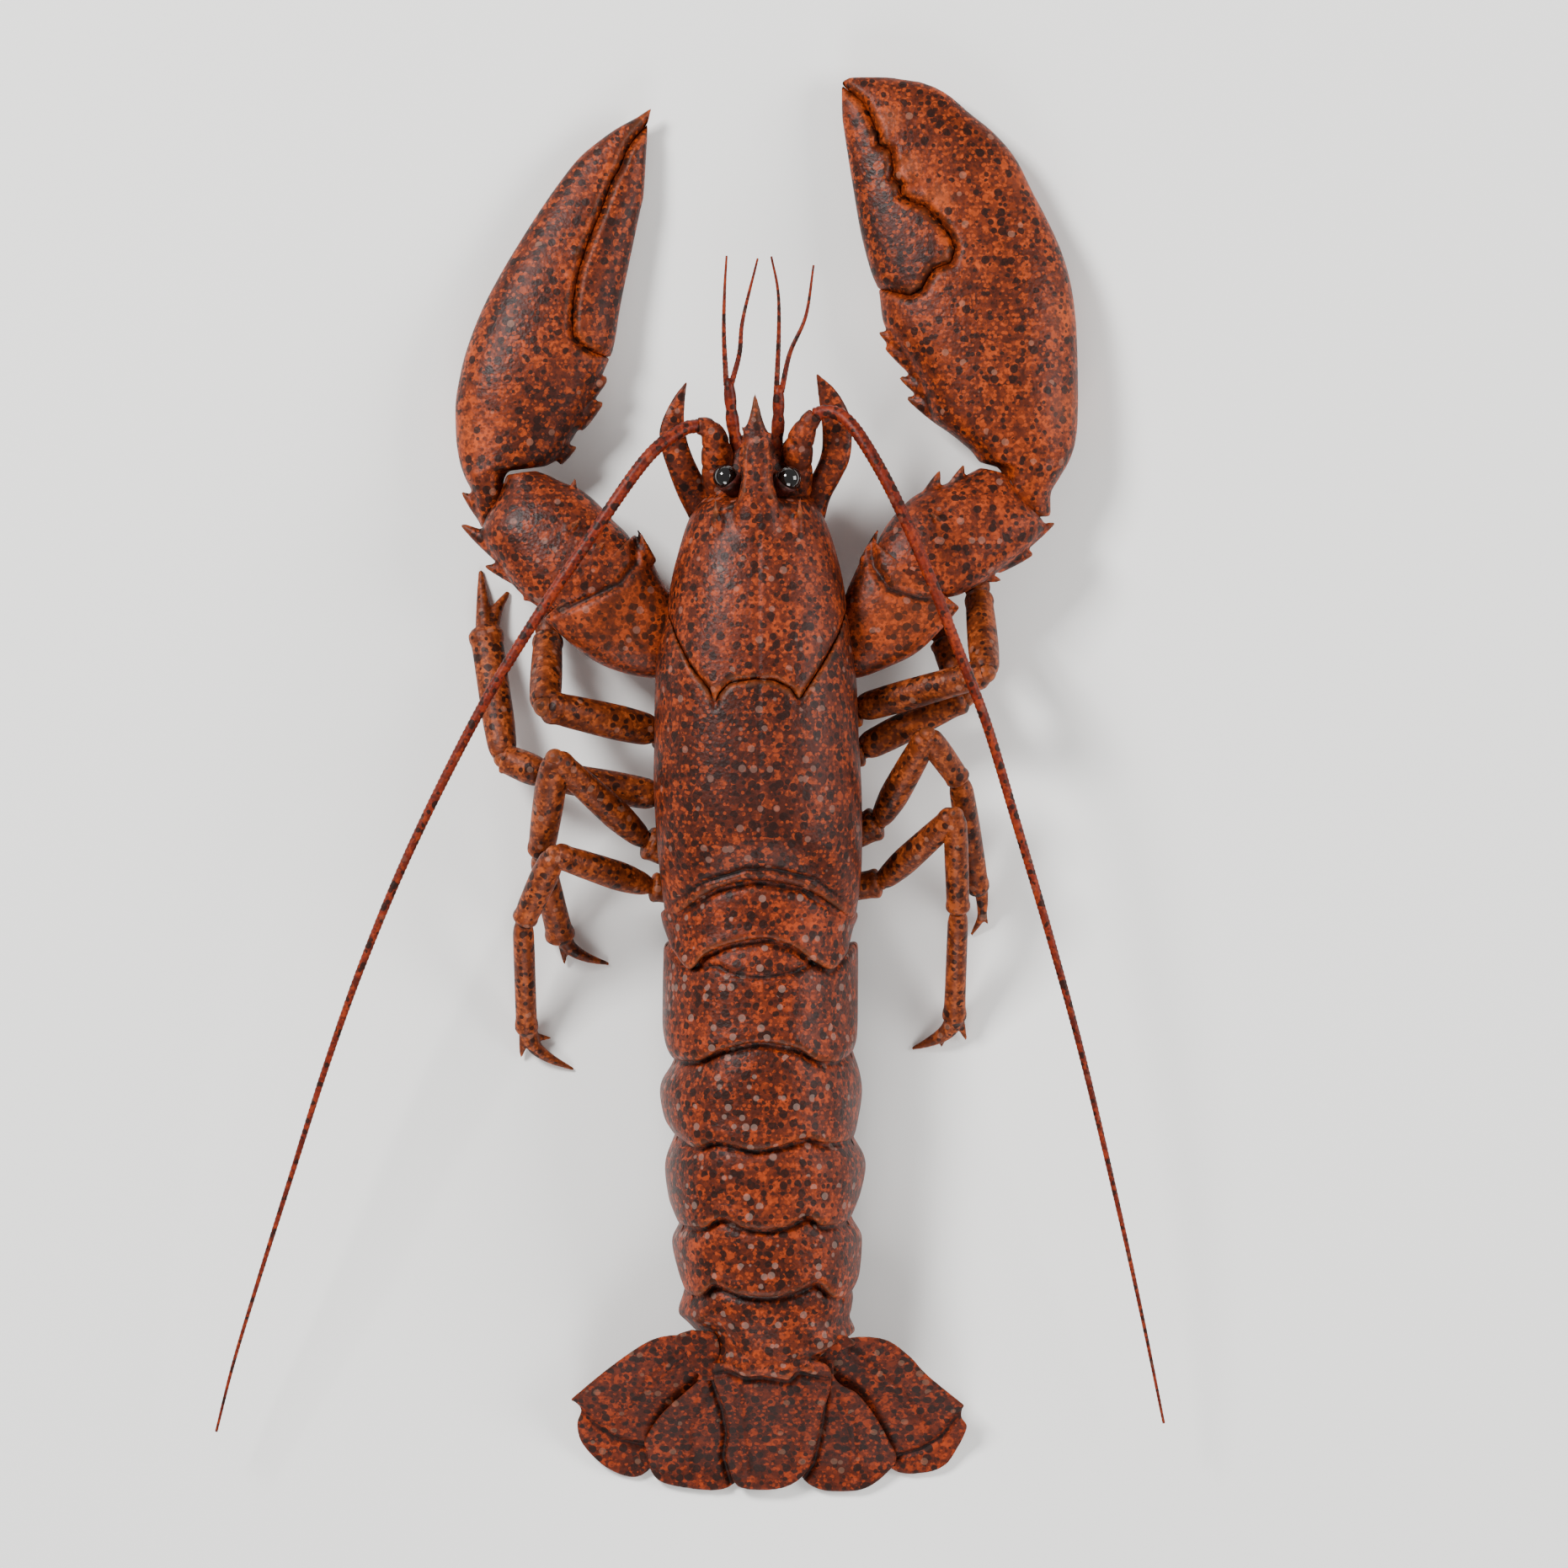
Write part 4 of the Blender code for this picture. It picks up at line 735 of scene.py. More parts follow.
# Where the shell is darker (above 0) or lighter (below 0): x, y, reach and strength.
CLAW_PATCHES = {
    "left": [
        (-61, 100, 11, 0.9), (-60, 118, 9, 0.7), (-86, 130, 9, -0.4), (-88, 106, 9, -0.4),
        # painted shade: darkens the cutter where the key light's reflection falls
        (-68, 156, 34, 0.4),
    ],
    "right": [
        (55, 104, 10, 0.3), (47, 150, 5, -0.3), (93, 140, 9, -0.4), (93, 112, 9, -0.4),
        (80, 180, 9, -0.3), (45, 184, 5, -0.55), (54, 175, 5, -0.55), (39, 198, 5, -0.55),
    ],
}
FINGER_PATCHES = {
    "left": [(-42, 142, 9, 0.9), (-40, 160, 9, 0.7), (-37, 178, 8, 0.5)],
    "right": [(45, 155, 9, 0.9), (36, 164, 9, 0.6), (32, 182, 9, 0.45), (30, 204, 5, -0.4)],
}
# The brightest orange of all, with fewer spots than the body, almost none of them pale.
CLAW_SHELL = shell_material(
    "claw chitin, mottled orange brown", ("280E05", "451809", "702A0E", "B04614"), (0.22, 0.24), "A8745E",
    dots=0.04,
)
for name, (outer, inner, heights, (hind, front)) in CLAWS.items():
    bm = bmesh.new()
    rings = []
    for y in np.linspace(hind, front, 90):
        first, second = read(outer[::-1], y), read(inner[::-1], y)
        level, up, down = (read(heights, y, k) for k in (1, 2, 3))
        middle, half = (first + second) / 2, abs(second - first) / 2
        ring = band(bm, (middle, y, level), half, up, down, 0.9, segments=56)
        for vert in ring:
            vert.co.z = max(vert.co.z, 0)
        rings.append(ring)
    skin(bm, rings)
    palm = shell_object("claw_hand_" + name, bm)
    if name == "left":
        line = course(CUTTER_SPLIT, 60)
        finger = part_along(palm, "claw_thumb_left", line, [(-15, 126.6), (-15, 200)])
    else:
        line = [Vector((*p, 0)) for p in CRUSHER_SPLIT]
        finger = part_along(palm, "claw_thumb_right", line[::-1], [(10, 211), (10, 147.8)])
    bm = bmesh.new()
    for spine in CLAW_SPINES[name]:
        thorn(bm, *spine)
    for x, y, z, size in CLAW_TEETH[name]:
        ball(bm, (x, y, z), size, 16, 10)
    add_forms(palm, bm)
    for piece in (palm, finger):
        melt(piece, voxel=0.6, rounds=5)
        press(piece, line, width=1.4, depth=2.0, over=8)
    place_piece(palm, CLAW_SHELL, "claw_palm_" + name, CLAW_PATCHES[name])
    place_piece(finger, CLAW_SHELL, "claw_finger_" + name, FINGER_PATCHES[name])

# Claw arms. Wrist and upper arm are short thick tubes of shell, set with forward-pointing spines
# and hinged to each other by two pegs.
WRISTS = {
    "left": (
        [(-50, 54.5), (-60, 51.2), (-66.5, 54), (-72.5, 59.5), (-77, 66.5), (-81.5, 73), (-81, 79),
         (-77, 86), (-74.6, 92.4)],
        [(-40, 59.8), (-36.8, 66), (-37.6, 73.2), (-43, 79), (-48, 84.4), (-53, 88.2), (-58, 90.2),
         (-62, 92.2), (-66, 93.6)],
    ),
    "right": (
        [(48, 56), (58, 56.2), (65, 59.5), (71, 63.6), (77.6, 68.5), (83, 73.6), (85, 78), (80, 84),
         (74.5, 92.5)],
        [(38, 59.6), (34.4, 66), (36, 73.6), (40.6, 80.6), (45.4, 85.4), (50, 88), (56, 89.8),
         (61.5, 92.2), (66, 94.6)],
    ),
}
WRIST_HEIGHTS = [(0, 26.5, 7.5, 7.5), (0.25, 26, 10.5, 10), (0.6, 22.5, 11, 10.5), (1, 17, 8.5, 8)]
WRIST_SPINES = {
    "left": [
        ((-77, 70.5, 22), (-88, 77.6, 21), 3.6), ((-71.5, 62.6, 23), (-81, 65.4, 22), 3.2),
        ((-64, 56.5, 25), (-70, 55.2, 25), 1.9), ((-55, 86, 24), (-54.2, 91.4, 26), 1.8),
        ((-58, 74, 31), (-52.5, 79, 37), 2.2), ((-50, 68, 32), (-45, 72.5, 38), 2),
    ],
    "right": [
        ((78, 72.4, 22), (88, 78.2, 21), 3.2), ((73, 67, 23), (81.8, 69, 22.5), 3.2),
        ((64.6, 62.6, 24), (72.4, 61, 24), 2.4), ((57.6, 87, 22), (61.2, 95.4, 23), 2.8),
        ((50.4, 84.6, 24), (54, 93.6, 24.5), 3), ((56, 76, 31), (51, 81, 37), 2.2),
    ],
}
UPPER_ARMS = {
    "left": (
        [(-20, 33), (-31, 32), (-40, 33.6), (-48, 36.8), (-56, 42.6), (-63.5, 49.6)],
        [(-20, 54), (-25.5, 57), (-29, 62), (-31.5, 67.5), (-33.6, 71.5), (-36.4, 74.8)],
    ),
    "right": (
        [(20, 33), (29, 32), (38, 35), (47, 39.4), (54, 46), (60, 53)],
        [(20, 53), (24.8, 55), (27, 59.5), (29.5, 65), (31.6, 69), (33.4, 73)],
    ),
}
UPPER_ARM_HEIGHTS = [(0, 23, 7, 6.5), (0.4, 25.5, 9.5, 8.5), (1, 27, 9, 8.5)]
# The hind edge of the wrist's shell, which laps over the upper arm.
WRIST_EDGES = {
    "left": [(-36.2, 77), (-36, 66), (-40.7, 60.2), (-50.7, 55.4), (-60, 51)],
    "right": [(33.3, 75), (34.4, 65), (39, 58.2), (48.2, 55.4), (58, 55.4)],
}
for name, side in SIDES.items():
    bm = bmesh.new()
    slab(bm, *WRISTS[name], WRIST_HEIGHTS, 36, 0.85, 44)
    for spine in WRIST_SPINES[name]:
        thorn(bm, *spine)
    wrist = shell_object("claw_wrist_shell_" + name, bm, voxel=0.55, rounds=4)
    press(wrist, WRIST_EDGES[name], width=0.9, depth=0.8, over=24)
    place_piece(wrist, CARAPACE_SHELL, "claw_wrist_" + name)
    bm = bmesh.new()
    slab(bm, *UPPER_ARMS[name], UPPER_ARM_HEIGHTS, 30, 0.85, 44)
    thorn(bm, (side * 32.4, 68, 29), (side * 35.6, 76.2, 31), 1.8)
    arm = shell_object("claw_arm_shell_" + name, bm, voxel=0.55, rounds=4)
    press(arm, WRIST_EDGES[name], width=1.4, depth=1.6, over=24)
    # painted light: the patch lightens the middle of the upper arm against the shade it lies in
    place_piece(arm, CARAPACE_SHELL, "claw_arm_" + name, [(side * 42, 50, 30, -0.35)])

# Walking legs. Four pairs of slender jointed tubes; the first two pairs end in little pincers and
# the last two in single points. They carry the body by their tips.

# Each leg: inner end, hip joint, knee, lower joint, end of the foot, and tip of its claw.
LEGS = {
    "left_1": [
        (-15, 13, 15), (-30.5, 16.3, 20), (-63, 23.8, 36), (-62.4, 44, 13), (-60.5, 66, 5),
        (-59.5, 82, 0.6),
    ],
    "left_2": [
        (-15, -5, 15), (-30, -2.8, 15.4), (-64, 3.6, 20), (-75.4, 8.4, 17), (-81.2, 47, 4.5),
        (-82.6, 64.2, 0.6),
    ],
    "left_3": [
        (-18, -23, 15), (-33.4, -16.4, 20), (-60, 8.2, 42), (-64.4, -20.5, 23), (-58.6, -45.6, 5),
        (-44.2, -53, 0.6),
    ],
    "left_4": [
        (-17, -32.2, 15), (-31.9, -29.8, 18), (-60.2, -20.2, 38), (-69.6, -40.4, 25), (-68.8, -73.4, 5),
        (-54.8, -84.4, 0.6),
    ],
    "right_1": [
        (15, 18, 15), (30, 23, 19), (67.4, 33.6, 38), (65.6, 56.5, 14), (62, 76, 4.5), (60, 90, 0.6),
    ],
    "right_2": [
        (15, 5, 15), (31, 11.1, 15), (61.5, 26.5, 19), (55, 43.5, 13), (50.5, 66, 4.5), (48, 81, 0.6),
    ],
    "right_3": [
        (18, -19, 15), (36, -10.6, 20), (50.2, 15, 41), (59.8, 1.6, 30), (65.6, -31.6, 8),
        (63.5, -44.2, 0.6),
    ],
    "right_4": [
        (18, -31.6, 15), (36.6, -28.6, 18), (58.4, -8.6, 38), (59.4, -37.4, 24), (58.4, -70, 5),
        (45.8, -78.2, 0.6),
    ],
}
# Radii at the start, middle and end of the upper segment, the middle segment and the foot.
LEG_RADII = {
    "left_1": [(4.4, 5.1, 4.3), (4.3, 4.6, 4), (3.9, 4, 3.4)],
    "left_2": [(4.3, 4.7, 4), (4, 4.5, 4), (3.9, 4.6, 4.7)],
    "left_3": [(2.9, 4.3, 3.3), (3.6, 4.5, 3.6), (3.2, 3.7, 4)],
    "left_4": [(2.8, 4.2, 3.3), (3.4, 4, 3.2), (2.9, 3, 3)],
    "right_1": [(4, 4.4, 3.9), (3.9, 4.4, 3.7), (3.6, 3.8, 3.4)],
    "right_2": [(3.9, 4.4, 3.8), (3.8, 4.2, 3.7), (3.6, 3.9, 3.6)],
    "right_3": [(2.9, 4.2, 3.4), (3.3, 3.7, 3.2), (3.3, 3.6, 3)],
    "right_4": [(2.8, 3.9, 3.3), (3.1, 3.4, 3.1), (2.8, 2.9, 3.2)],
}
COXA_RADII = {"1": 4.9, "2": 4.7, "3": 4.8, "4": 4.2}
PINCER_FINGERS = {  # x and y of the tip of the second finger
    "left_1": (-66, 78),
    "left_2": (-74.4, 57.8),
    "right_1": (66.4, 86),
    "right_2": (54.6, 77.6),
}
# The last two pairs end in a bent claw, its width where it starts, and spurs as root, tip, radius.
FOOT_CLAWS = {
    "left_3": (
        [(-57.6, -45.4, 5), (-55.6, -48.4, 3.8), (-51, -51, 2.3), (-44.2, -53, 0.7)], 2.4,
        [((-58, -47, 3.6), (-57.6, -53.2, 1.4), 1.6)],
    ),
    "left_4": (
        [(-68.2, -72.6, 5), (-66.6, -77.4, 3.8), (-62.2, -80.9, 2.3), (-54.8, -84.4, 0.7)], 2.6,
        [((-67, -74.6, 4), (-61.6, -75, 2.4), 1.5), ((-69.6, -75, 3.8), (-70.6, -81, 1.4), 1.6)],
    ),
    "right_3": (
        [(66.4, -30.6, 8), (66.8, -36, 5), (66.2, -39.6, 3.2), (63.5, -44.3, 0.7)], 2.1,
        [((66.8, -37, 4.4), (68.4, -41.2, 2.4), 1.3)],
    ),
    "right_4": (
        [(58.6, -69.6, 5), (56, -73.2, 3.8), (51.4, -76, 2.3), (45.8, -78.2, 0.7)], 2.9,
        [((60, -70, 4), (62, -75.6, 1.6), 1.6), ((55.6, -73.6, 3), (54.4, -78.2, 1.4), 1.1)],
    ),
}
SEGMENT_SHAPE = [(0, 0.72), (0.04, 0.9), (0.1, 1.0), (0.86, 0.98), (0.93, 1.1), (0.98, 1.08), (1, 0.8)]
COXA_SHAPE = [(0, 0.9), (0.5, 1.0), (0.8, 1.0), (0.93, 1.1), (0.97, 1.0), (1, 0.7)]
SHARES = [k / 24 for k in range(25)]  # along one segment
for name, row in LEGS.items():
    inner_end, *joints = [Vector(p) for p in row]
    for n, part in enumerate(("upper", "middle", "foot")):
        first, last = joints[n], joints[n + 1]
        start_r, middle_r, end_r = LEG_RADII[name][n]
        widths = [(0, start_r), (0.35, middle_r), (0.72, middle_r * 0.7 + end_r * 0.3), (1, end_r)]
        radii = [0.25 + read(widths, share) * read(SEGMENT_SHAPE, share) for share in SHARES]
        bm = bmesh.new()
        flat = 0.78 if part == "foot" and name in PINCER_FINGERS else 1.0
        limb(bm, [first.lerp(last, share) for share in SHARES], radii, 24, flat)
        if part == "foot" and name in PINCER_FINGERS:
            root = last - (last - first).normalized() * 3
            tip, other_tip = joints[4], Vector((*PINCER_FINGERS[name], 0.6))
            limb(bm, course([root, last.lerp(tip, 0.45), tip], 12), taper(12, 3.4, 0.7, 1.1), 16)
            bend = last.lerp(other_tip, 0.5) + UP * 0.4
            limb(bm, course([root, bend, other_tip], 12), taper(12, 3.2, 0.7, 1.1), 16)
        elif part == "foot":
            claw, width, spurs = FOOT_CLAWS[name]
            limb(bm, course(claw, 16), taper(16, width, 0.45, 1.3), 16)
            for spur in spurs:
                thorn(bm, *spur)
        segment = shell_object(f"leg_{name}_{part}_shell", bm, voxel=0.42, rounds=2)
        place_piece(segment, LEG_SHELL, f"leg_{name}_{part}")
    bm = bmesh.new()
    radii = [COXA_RADII[name[-1]] * read(COXA_SHAPE, share) for share in SHARES]
    limb(bm, [inner_end.lerp(joints[0], share) for share in SHARES], radii, 32)
    place_piece(shell_object(f"leg_{name}_hip", bm, voxel=0.5, rounds=3), LEG_SHELL)
    bm = bmesh.new()  # the rounded knobs that fill the joints
    for centre, (width, *_) in zip(joints, LEG_RADII[name]):
        ball(bm, centre - UP * 0.5, width * 0.82, 24, 16)
    place_piece(shell_object(f"leg_{name}_joints", bm), LEG_SHELL)

# Tail. Six arched rings of thin hard shell slide under one another, tied by soft skin that doesn't
# show while the tail is straight, and end in side plates.

# Each ring: its hind edge as (x, y), its sides as (share of its length, left x, right x), and the
# height of its back in front and behind and of its side tips.
ABDOMEN = {
    "abdomen_1": (
        [(-29, -45), (-26.1, -47.4), (-20, -54.2), (-16, -50), (-9, -46.8), (2.1, -44.9), (10, -47.2),
         (17, -52), (21.6, -54.2), (26.8, -49), (30, -45)],
        [(0, -25, 27), (0.2, -28.9, 29.9), (0.55, -28.2, 28.4), (1, -26, 26.8)], (50.5, 51, 20),
    ),
    "abdomen_2": (
        [(-29, -78.5), (-25, -81), (-19, -81.3), (-10, -77.6), (0.8, -75.6), (11, -77.2), (19, -81.4),
         (23, -81.4), (28.4, -78.4), (30, -77)],
        [(0, -24, 25), (0.17, -28, 29.8), (0.76, -28.4, 29.7), (0.92, -27.4, 29.4), (1, -25, 28.2)],
        (49.5, 50.5, 12),
    ),
    "abdomen_3": (
        [(-29, -102.4), (-24, -103.6), (-18.2, -106.9), (-13, -105), (-0.5, -107.4), (8, -105.8),
         (14.7, -103.7), (20, -105.5), (28.4, -104.5), (31, -103.5)],
        [(0, -23.5, 26.5), (0.19, -25.2, 28.6), (0.58, -29.2, 31), (0.84, -27.9, 29.8), (1, -24.7, 28.4)],
        (49, 49, 9),
    ),
    "abdomen_4": (
        [(-28, -129), (-23.4, -130), (-16.5, -130.6), (-10.8, -127.5), (-4, -130.4), (2.1, -131.1),
         (9, -129.8), (14.5, -126.9), (19, -129.9), (25, -129.5), (28, -127.9), (32, -127)],
        [(0, -23.2, 27), (0.14, -24.7, 28.4), (0.48, -27.7, 32.1), (0.76, -26.6, 30.6), (1, -23.4, 27.6)],
        (47, 45.5, 8),
    ),
    "abdomen_5": (
        [(-25.5, -148.5), (-21.6, -149.7), (-17.6, -151.2), (-12.9, -147.3), (-6, -150.2), (3, -151),
         (11, -149.6), (17.1, -146.8), (23, -151.7), (26.8, -151.8), (31, -150.5)],
        [(0, -22.4, 26.4), (0.17, -23.4, 28), (0.42, -25.6, 31), (0.79, -23.7, 30.2), (1, -21.6, 26.8)],
        (43.5, 41, 6),
    ),
    "abdomen_6": (
        [(-24, -173), (-14.2, -173.5), (-9, -172.6), (-3.7, -174.9), (1, -174.5), (9.2, -175.8),
         (11.6, -173.1), (18.4, -174.8), (20.5, -172.6), (30, -166)],
        [(0, -21, 26.4), (0.2, -22.2, 28.4), (0.42, -23.8, 27.8), (0.5, -20.8, 27.2), (0.6, -17.6, 28),
         (0.76, -15, 29), (0.84, -14.6, 20.8), (1, -14.2, 20.5)], (39, 31, 5),
    ),
}
COVERED = 4.5  # how far each ring slides under the one in front of it
FACET_GROOVE = [(-19, -53.4), (-11.6, -53.2), (-8.4, -55.3), (1, -56.6), (11, -54.9), (16, -52.2)]
# How much higher or lower the back of a ring is than a straight line, along its length.
ARCH_RISE = [(0, -1.8), (0.12, -0.3), (0.4, 1.0), (0.8, 0.7), (0.94, 1.0), (1, 0.2)]
PAST_RIM = 1.25  # each ring is made this much longer than it is, then cut along its rim
LIP = 0.8  # how far the lower edge of a side plate hangs below the widest place
SIDE_RISE = 9.0  # how much higher the ends of a side plate are, and the belly between the two
# Browner than the claws and thick with spots, more of them pale than elsewhere.
TAIL_SHELL = shell_material(
    "tail chitin, dotted brown", ("240C05", "3F1508", "62230C", "A63E12"), (0.38, 0.34), "A08478",
    dots=0.2,
)
front_line = RIM_LINE
for name, (hind_line, sides, (front_top, hind_top, tip)) in ABDOMEN.items():
    bm = bmesh.new()
    rings = []
    for share in np.linspace(0, PAST_RIM, 42):
        left, right = read(sides, share), read(sides, share, 2)
        top = front_top + (hind_top - front_top) * share + read(ARCH_RISE, share)
        low = tip + LIP + SIDE_RISE * (1 - math.sin(math.pi * min(share + 0.08, 1)) ** 0.5)
        ring = bmesh.ops.create_circle(bm, segments=96, radius=1)["verts"]
        for vert in ring:
            level, rise = vert.co.x, vert.co.y
            spread = math.copysign(abs(level) ** 0.85, level)
            if rise >= 0:
                vert.co.z = low + (top - low) * rise**0.72
            else:
                vert.co.z = low - LIP + SIDE_RISE * min(1, (1 - abs(spread)) * 4)
            vert.co.x = (left + right) / 2 + spread * (right - left) / 2
            front, hind = read(front_line, vert.co.x) + COVERED, read(hind_line, vert.co.x)
            vert.co.y = front + (hind - front) * share
        rings.append(ring)
    skin(bm, rings)
    segment = shell_object(name + "_shell", bm)
    cut_behind(segment, hind_line)
    melt(segment, voxel=SHELL_VOXEL, rounds=4)
    press(segment, [(x, y - 0.9) for x, y in front_line], width=0.9, depth=1.0, over=25)
    if name == "abdomen_2":
        press(segment, FACET_GROOVE, width=0.8, depth=1.2, over=30)
    place_piece(segment, TAIL_SHELL, name)
    front_line = hind_line

# Swimming paddles. Under the second to fifth ring hang soft pairs of them, each a short stalk with
# two thin leaves, fringed at the edge.
PADDLE_ROOTS = {  # middle x, y and height of the root
    "abdomen_2": (1.2, -61.0, 26), "abdomen_3": (1.4, -92.0, 23), "abdomen_4": (2.0, -119.5, 22),
    "abdomen_5": (2.3, -141.2, 20),
}
LEAF_TIPS = [(2.6, -5.0), (-0.8, -4.2)]  # how far out and back from the stalk
LEAF_WIDTHS = [(0, 1.0), (0.15, 1.5), (0.45, 2.5), (0.75, 2.2), (0.95, 1.1), (1, 0.4)]
# Duller than shell, with few spots.
PADDLE_SKIN = shell_material(
    "paddle membrane, dull red brown", ("3C160C", "5A2212", "6E2E18", "8A4426"), (0.1, 0.1), "84584C",
    roughness=0.6, wear=0.2,
)
for name, (middle_x, y, height) in PADDLE_ROOTS.items():
    bm = bmesh.new()
    for side in SIDES.values():
        root = Vector((middle_x + side * 10, y, height))
        fork = Vector((middle_x + side * 10.6, y - 1.6, height * 0.7))
        limb(bm, [root.lerp(fork, k / 6) for k in range(7)], [2.1, 2.2, 2.2, 2.1, 2.0, 1.9, 1.6], 20, 0.6)
        for out, back in LEAF_TIPS:
            tip = Vector((middle_x + side * (10.8 + out), y + back, 3.4))
            middle = fork.lerp(tip, 0.5) + Vector((side * 0.5, -0.8, 0))
            leaf = course([fork + UP * 1.5, middle, tip], 24)
            limb(bm, leaf, [read(LEAF_WIDTHS, k / 23) for k in range(24)], 20, 0.28)
    place_piece(shell_object(name + "_paddles", bm, voxel=0.4, rounds=2), PADDLE_SKIN)

# Tail fan. A central plate and two pairs of side plates, thin and stiff, overlapping like a hand of
# cards, and the short stalks that hinge the side plates to the last ring.

# Levels are y and height; each plate has its outline, its levels, its ribs and its grooves.
CENTRE_LEVELS = [(-210, 3.2), (-203, 5.4), (-194, 11.2), (-183, 19.8), (-172, 27.0), (-160, 33.0)]
INNER_LEVELS = [(-211, 1.4), (-203, 3.0), (-194, 8.2), (-183, 16.4), (-172, 23.2), (-160, 28.0)]
OUTER_LEVELS = [(-206, 0.95), (-196, 3.6), (-186, 9.6), (-176, 16.6), (-163, 23.0), (-150, 27.0)]
STALK_LEVELS = [(-177, 23.5), (-160, 27.5)]
FAN = {
    "telson": (
        [(-13.5, -171), (-12.9, -176.6), (-9.9, -184.8), (-8.6, -192.5), (-9.5, -199.4), (-7.3, -206.7),
         (-4.6, -209), (2.2, -209.6), (8, -208.7), (12.7, -206), (15.9, -201), (18.5, -189),
         (19.8, -171)],
        CENTRE_LEVELS, [[(-6, -178), (-3.5, -204)], [(13, -178), (11, -203)]],
        [[(-15, -174.6), (-9, -173.6), (-3.7, -175.9), (1, -175.5), (9.2, -176.8), (12, -174),
        (21, -175.8)]],
    ),
    "tail_inner_left": (
        [(-8, -172), (-5, -190), (-5, -204), (-8.2, -208.4), (-13.3, -209.7), (-21.9, -208.9),
         (-28.8, -207.2), (-31.9, -203.7), (-33.3, -198), (-33.4, -194), (-28, -185.8), (-17.6, -176.2),
         (-14, -171)],
        INNER_LEVELS, [[(-14, -177), (-21, -190), (-21, -206)]],
        [[(-14, -175.6), (-10.8, -184.8), (-9.5, -192.5), (-10.4, -199.4), (-8.2, -207.4)]],
    ),
    "tail_inner_right": (
        [(14, -172), (12, -190), (12.5, -204), (16.8, -208.8), (23.7, -210.1), (32.3, -209),
         (39.2, -203.7), (41.3, -199.6), (39.2, -195.1), (34.9, -187.3), (29.7, -180.5), (24, -177),
         (19.6, -171)],
        INNER_LEVELS, [[(20, -177), (28, -190), (29, -206)]],
        [[(20.7, -176), (19.4, -189), (16.8, -201.4), (13.4, -207)]],
    ),
    "tail_outer_left": (
        [(-13, -172), (-20, -164), (-25.4, -162.8), (-33, -164.9), (-44.3, -172.7), (-55.4, -182),
         (-55.4, -182.3), (-52.6, -185.2), (-53.8, -189.9), (-52.1, -196), (-45.2, -202.9),
         (-37.4, -205.8), (-32.3, -203.4), (-28, -196), (-20, -182)],
        OUTER_LEVELS, [[(-22, -168), (-38, -182), (-44, -191)]],
        [[(-55.5, -184), (-52.5, -185.2), (-48.6, -189.9), (-42.2, -194.4), (-33, -196.4)]],
    ),
    "tail_outer_right": (
        [(20, -172), (24, -165), (30, -163.3), (38.3, -164.3), (45.2, -169.3), (50.4, -174.9),
         (61, -183.7), (61, -184), (60.5, -187.6), (62.2, -190.8), (59, -197.7), (55.5, -202.3),
         (49.5, -204.5), (41, -204), (35, -197), (28, -184)],
        OUTER_LEVELS, [[(28, -168), (43, -181), (50, -192)]],
        [[(61, -186), (58.1, -188.2), (54.7, -193.4), (48.7, -197.3), (40.5, -199.8)]],
    ),
    "tail_stalk_left": (
        [(-19.5, -161), (-23.7, -162.4), (-24.5, -164.7), (-21.3, -167.9), (-19.9, -172.5),
         (-17.4, -174.6), (-18, -176), (-12, -175), (-12, -163)],
        STALK_LEVELS, [], [],
    ),
    "tail_stalk_right": (
        [(18, -163), (25, -162.6), (29, -165.2), (25, -167.2), (22.6, -170.5), (22, -175.6), (15, -175)],
        STALK_LEVELS, [], [],
    ),
}
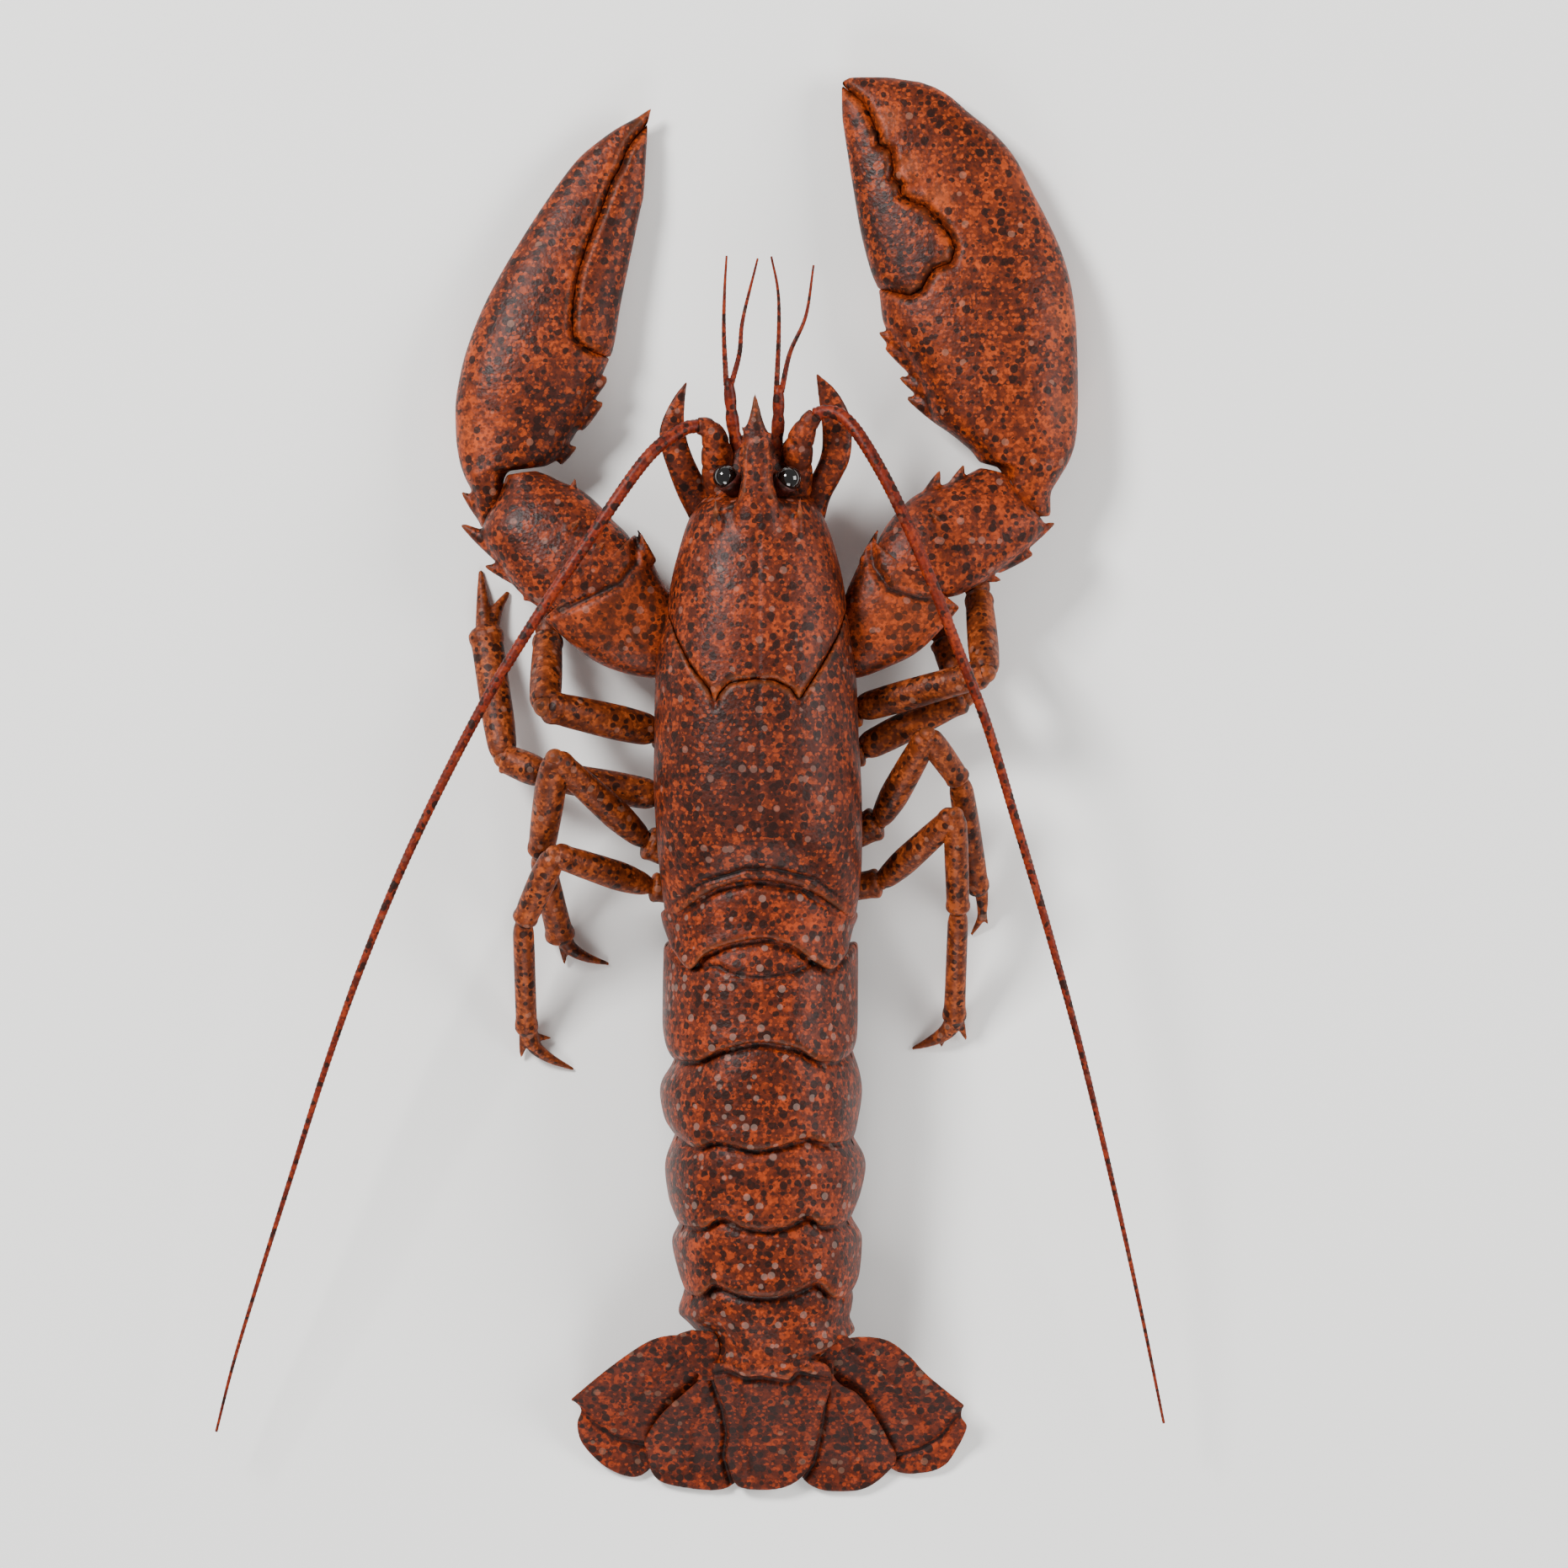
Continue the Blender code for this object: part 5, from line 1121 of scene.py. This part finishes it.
# Duller and a little darker than the rings, with the most dark spots.
FAN_SHELL = shell_material(
    "tail fan chitin, thin and dark", ("240A03", "3E1204", "622008", "A0380C"), (0.4, 0.36), "8A6450",
    roughness=0.56, dots=0.12,
)
HALF_PLATE = 0.9  # half the thickness
for name, (outline, levels, ribs, grooves) in FAN.items():
    plate = block_along(course([*outline, outline[0]], 160)[:-1], [], -HALF_PLATE, HALF_PLATE)
    plate.name = name + "_plate"
    melt(plate, voxel=0.45, rounds=3)
    keys = np.linspace(levels[0][0], levels[-1][0], 60)
    rise = [read(levels, key) for key in keys]
    carve(plate, lambda points, normals: np.outer(np.interp(points[:, 1], keys, rise), UP))
    for rib in ribs:
        press(plate, rib, width=1.3, depth=-0.6)
    for groove in grooves:
        press(plate, groove, width=0.9, depth=1.2)
    replaced = "" if "stalk" in name else name
    place_piece(plate, FAN_SHELL, replaced, [(3, -188, 60, 0.2)])

# Studio. A plain pale floor, soft light from above and a camera straight over the animal.
bpy.ops.mesh.primitive_plane_add(size=12, location=(0, 0, 0))
floor = bpy.context.object
floor.name = "floor"
# Matt and nearly white, so that only soft shadows show on it.
paper = bpy.data.materials.new("white studio floor")
paper.use_nodes = True
shader = paper.node_tree.nodes["Principled BSDF"]
shader.inputs["Base Color"].default_value = colour("FCFBF8")
shader.inputs["Roughness"].default_value = 0.85
floor.data.materials.append(paper)
LIGHTS = {  # place and size in metres, power in watts
    "key light": ((-1.1, 1.0, 1.5), 0.55, 62.0),
    "fill light": ((1.5, 0.2, 1.0), 0.9, 26.0),
    "back light": ((-0.1, -1.7, 1.0), 0.9, 22.0),
}
for name, (place, size, power) in LIGHTS.items():
    lamp = bpy.data.lights.new(name, "AREA")
    lamp.size = size
    lamp.energy = power
    lamp_object = bpy.data.objects.new(name, lamp)
    lamp_object.location = place
    lamp_object.rotation_euler = Vector(place).to_track_quat("Z", "Y").to_euler()
    bpy.context.scene.collection.objects.link(lamp_object)
world = bpy.data.worlds.new("soft room light")
world.use_nodes = True
sky = world.node_tree.nodes["Background"]
sky.inputs["Color"].default_value = (1, 1, 1, 1)
sky.inputs["Strength"].default_value = 0.4
bpy.context.scene.world = world

VIEW_WIDTH = 0.4655  # how wide the picture is at the height of the animal's widest outline, metres
OUTLINE_HEIGHT = 0.018
LENS = 400.0  # mm, a long lens, because the drawing has no perspective
SENSOR = 36.0
camera = bpy.data.cameras.new("camera")
camera.lens = LENS
camera.sensor_width = SENSOR
camera.clip_end = 20.0
camera_object = bpy.data.objects.new("camera", camera)
camera_object.location = (0.0278, 0.0003, VIEW_WIDTH * LENS / SENSOR + OUTLINE_HEIGHT)
bpy.context.scene.collection.objects.link(camera_object)
bpy.context.scene.camera = camera_object
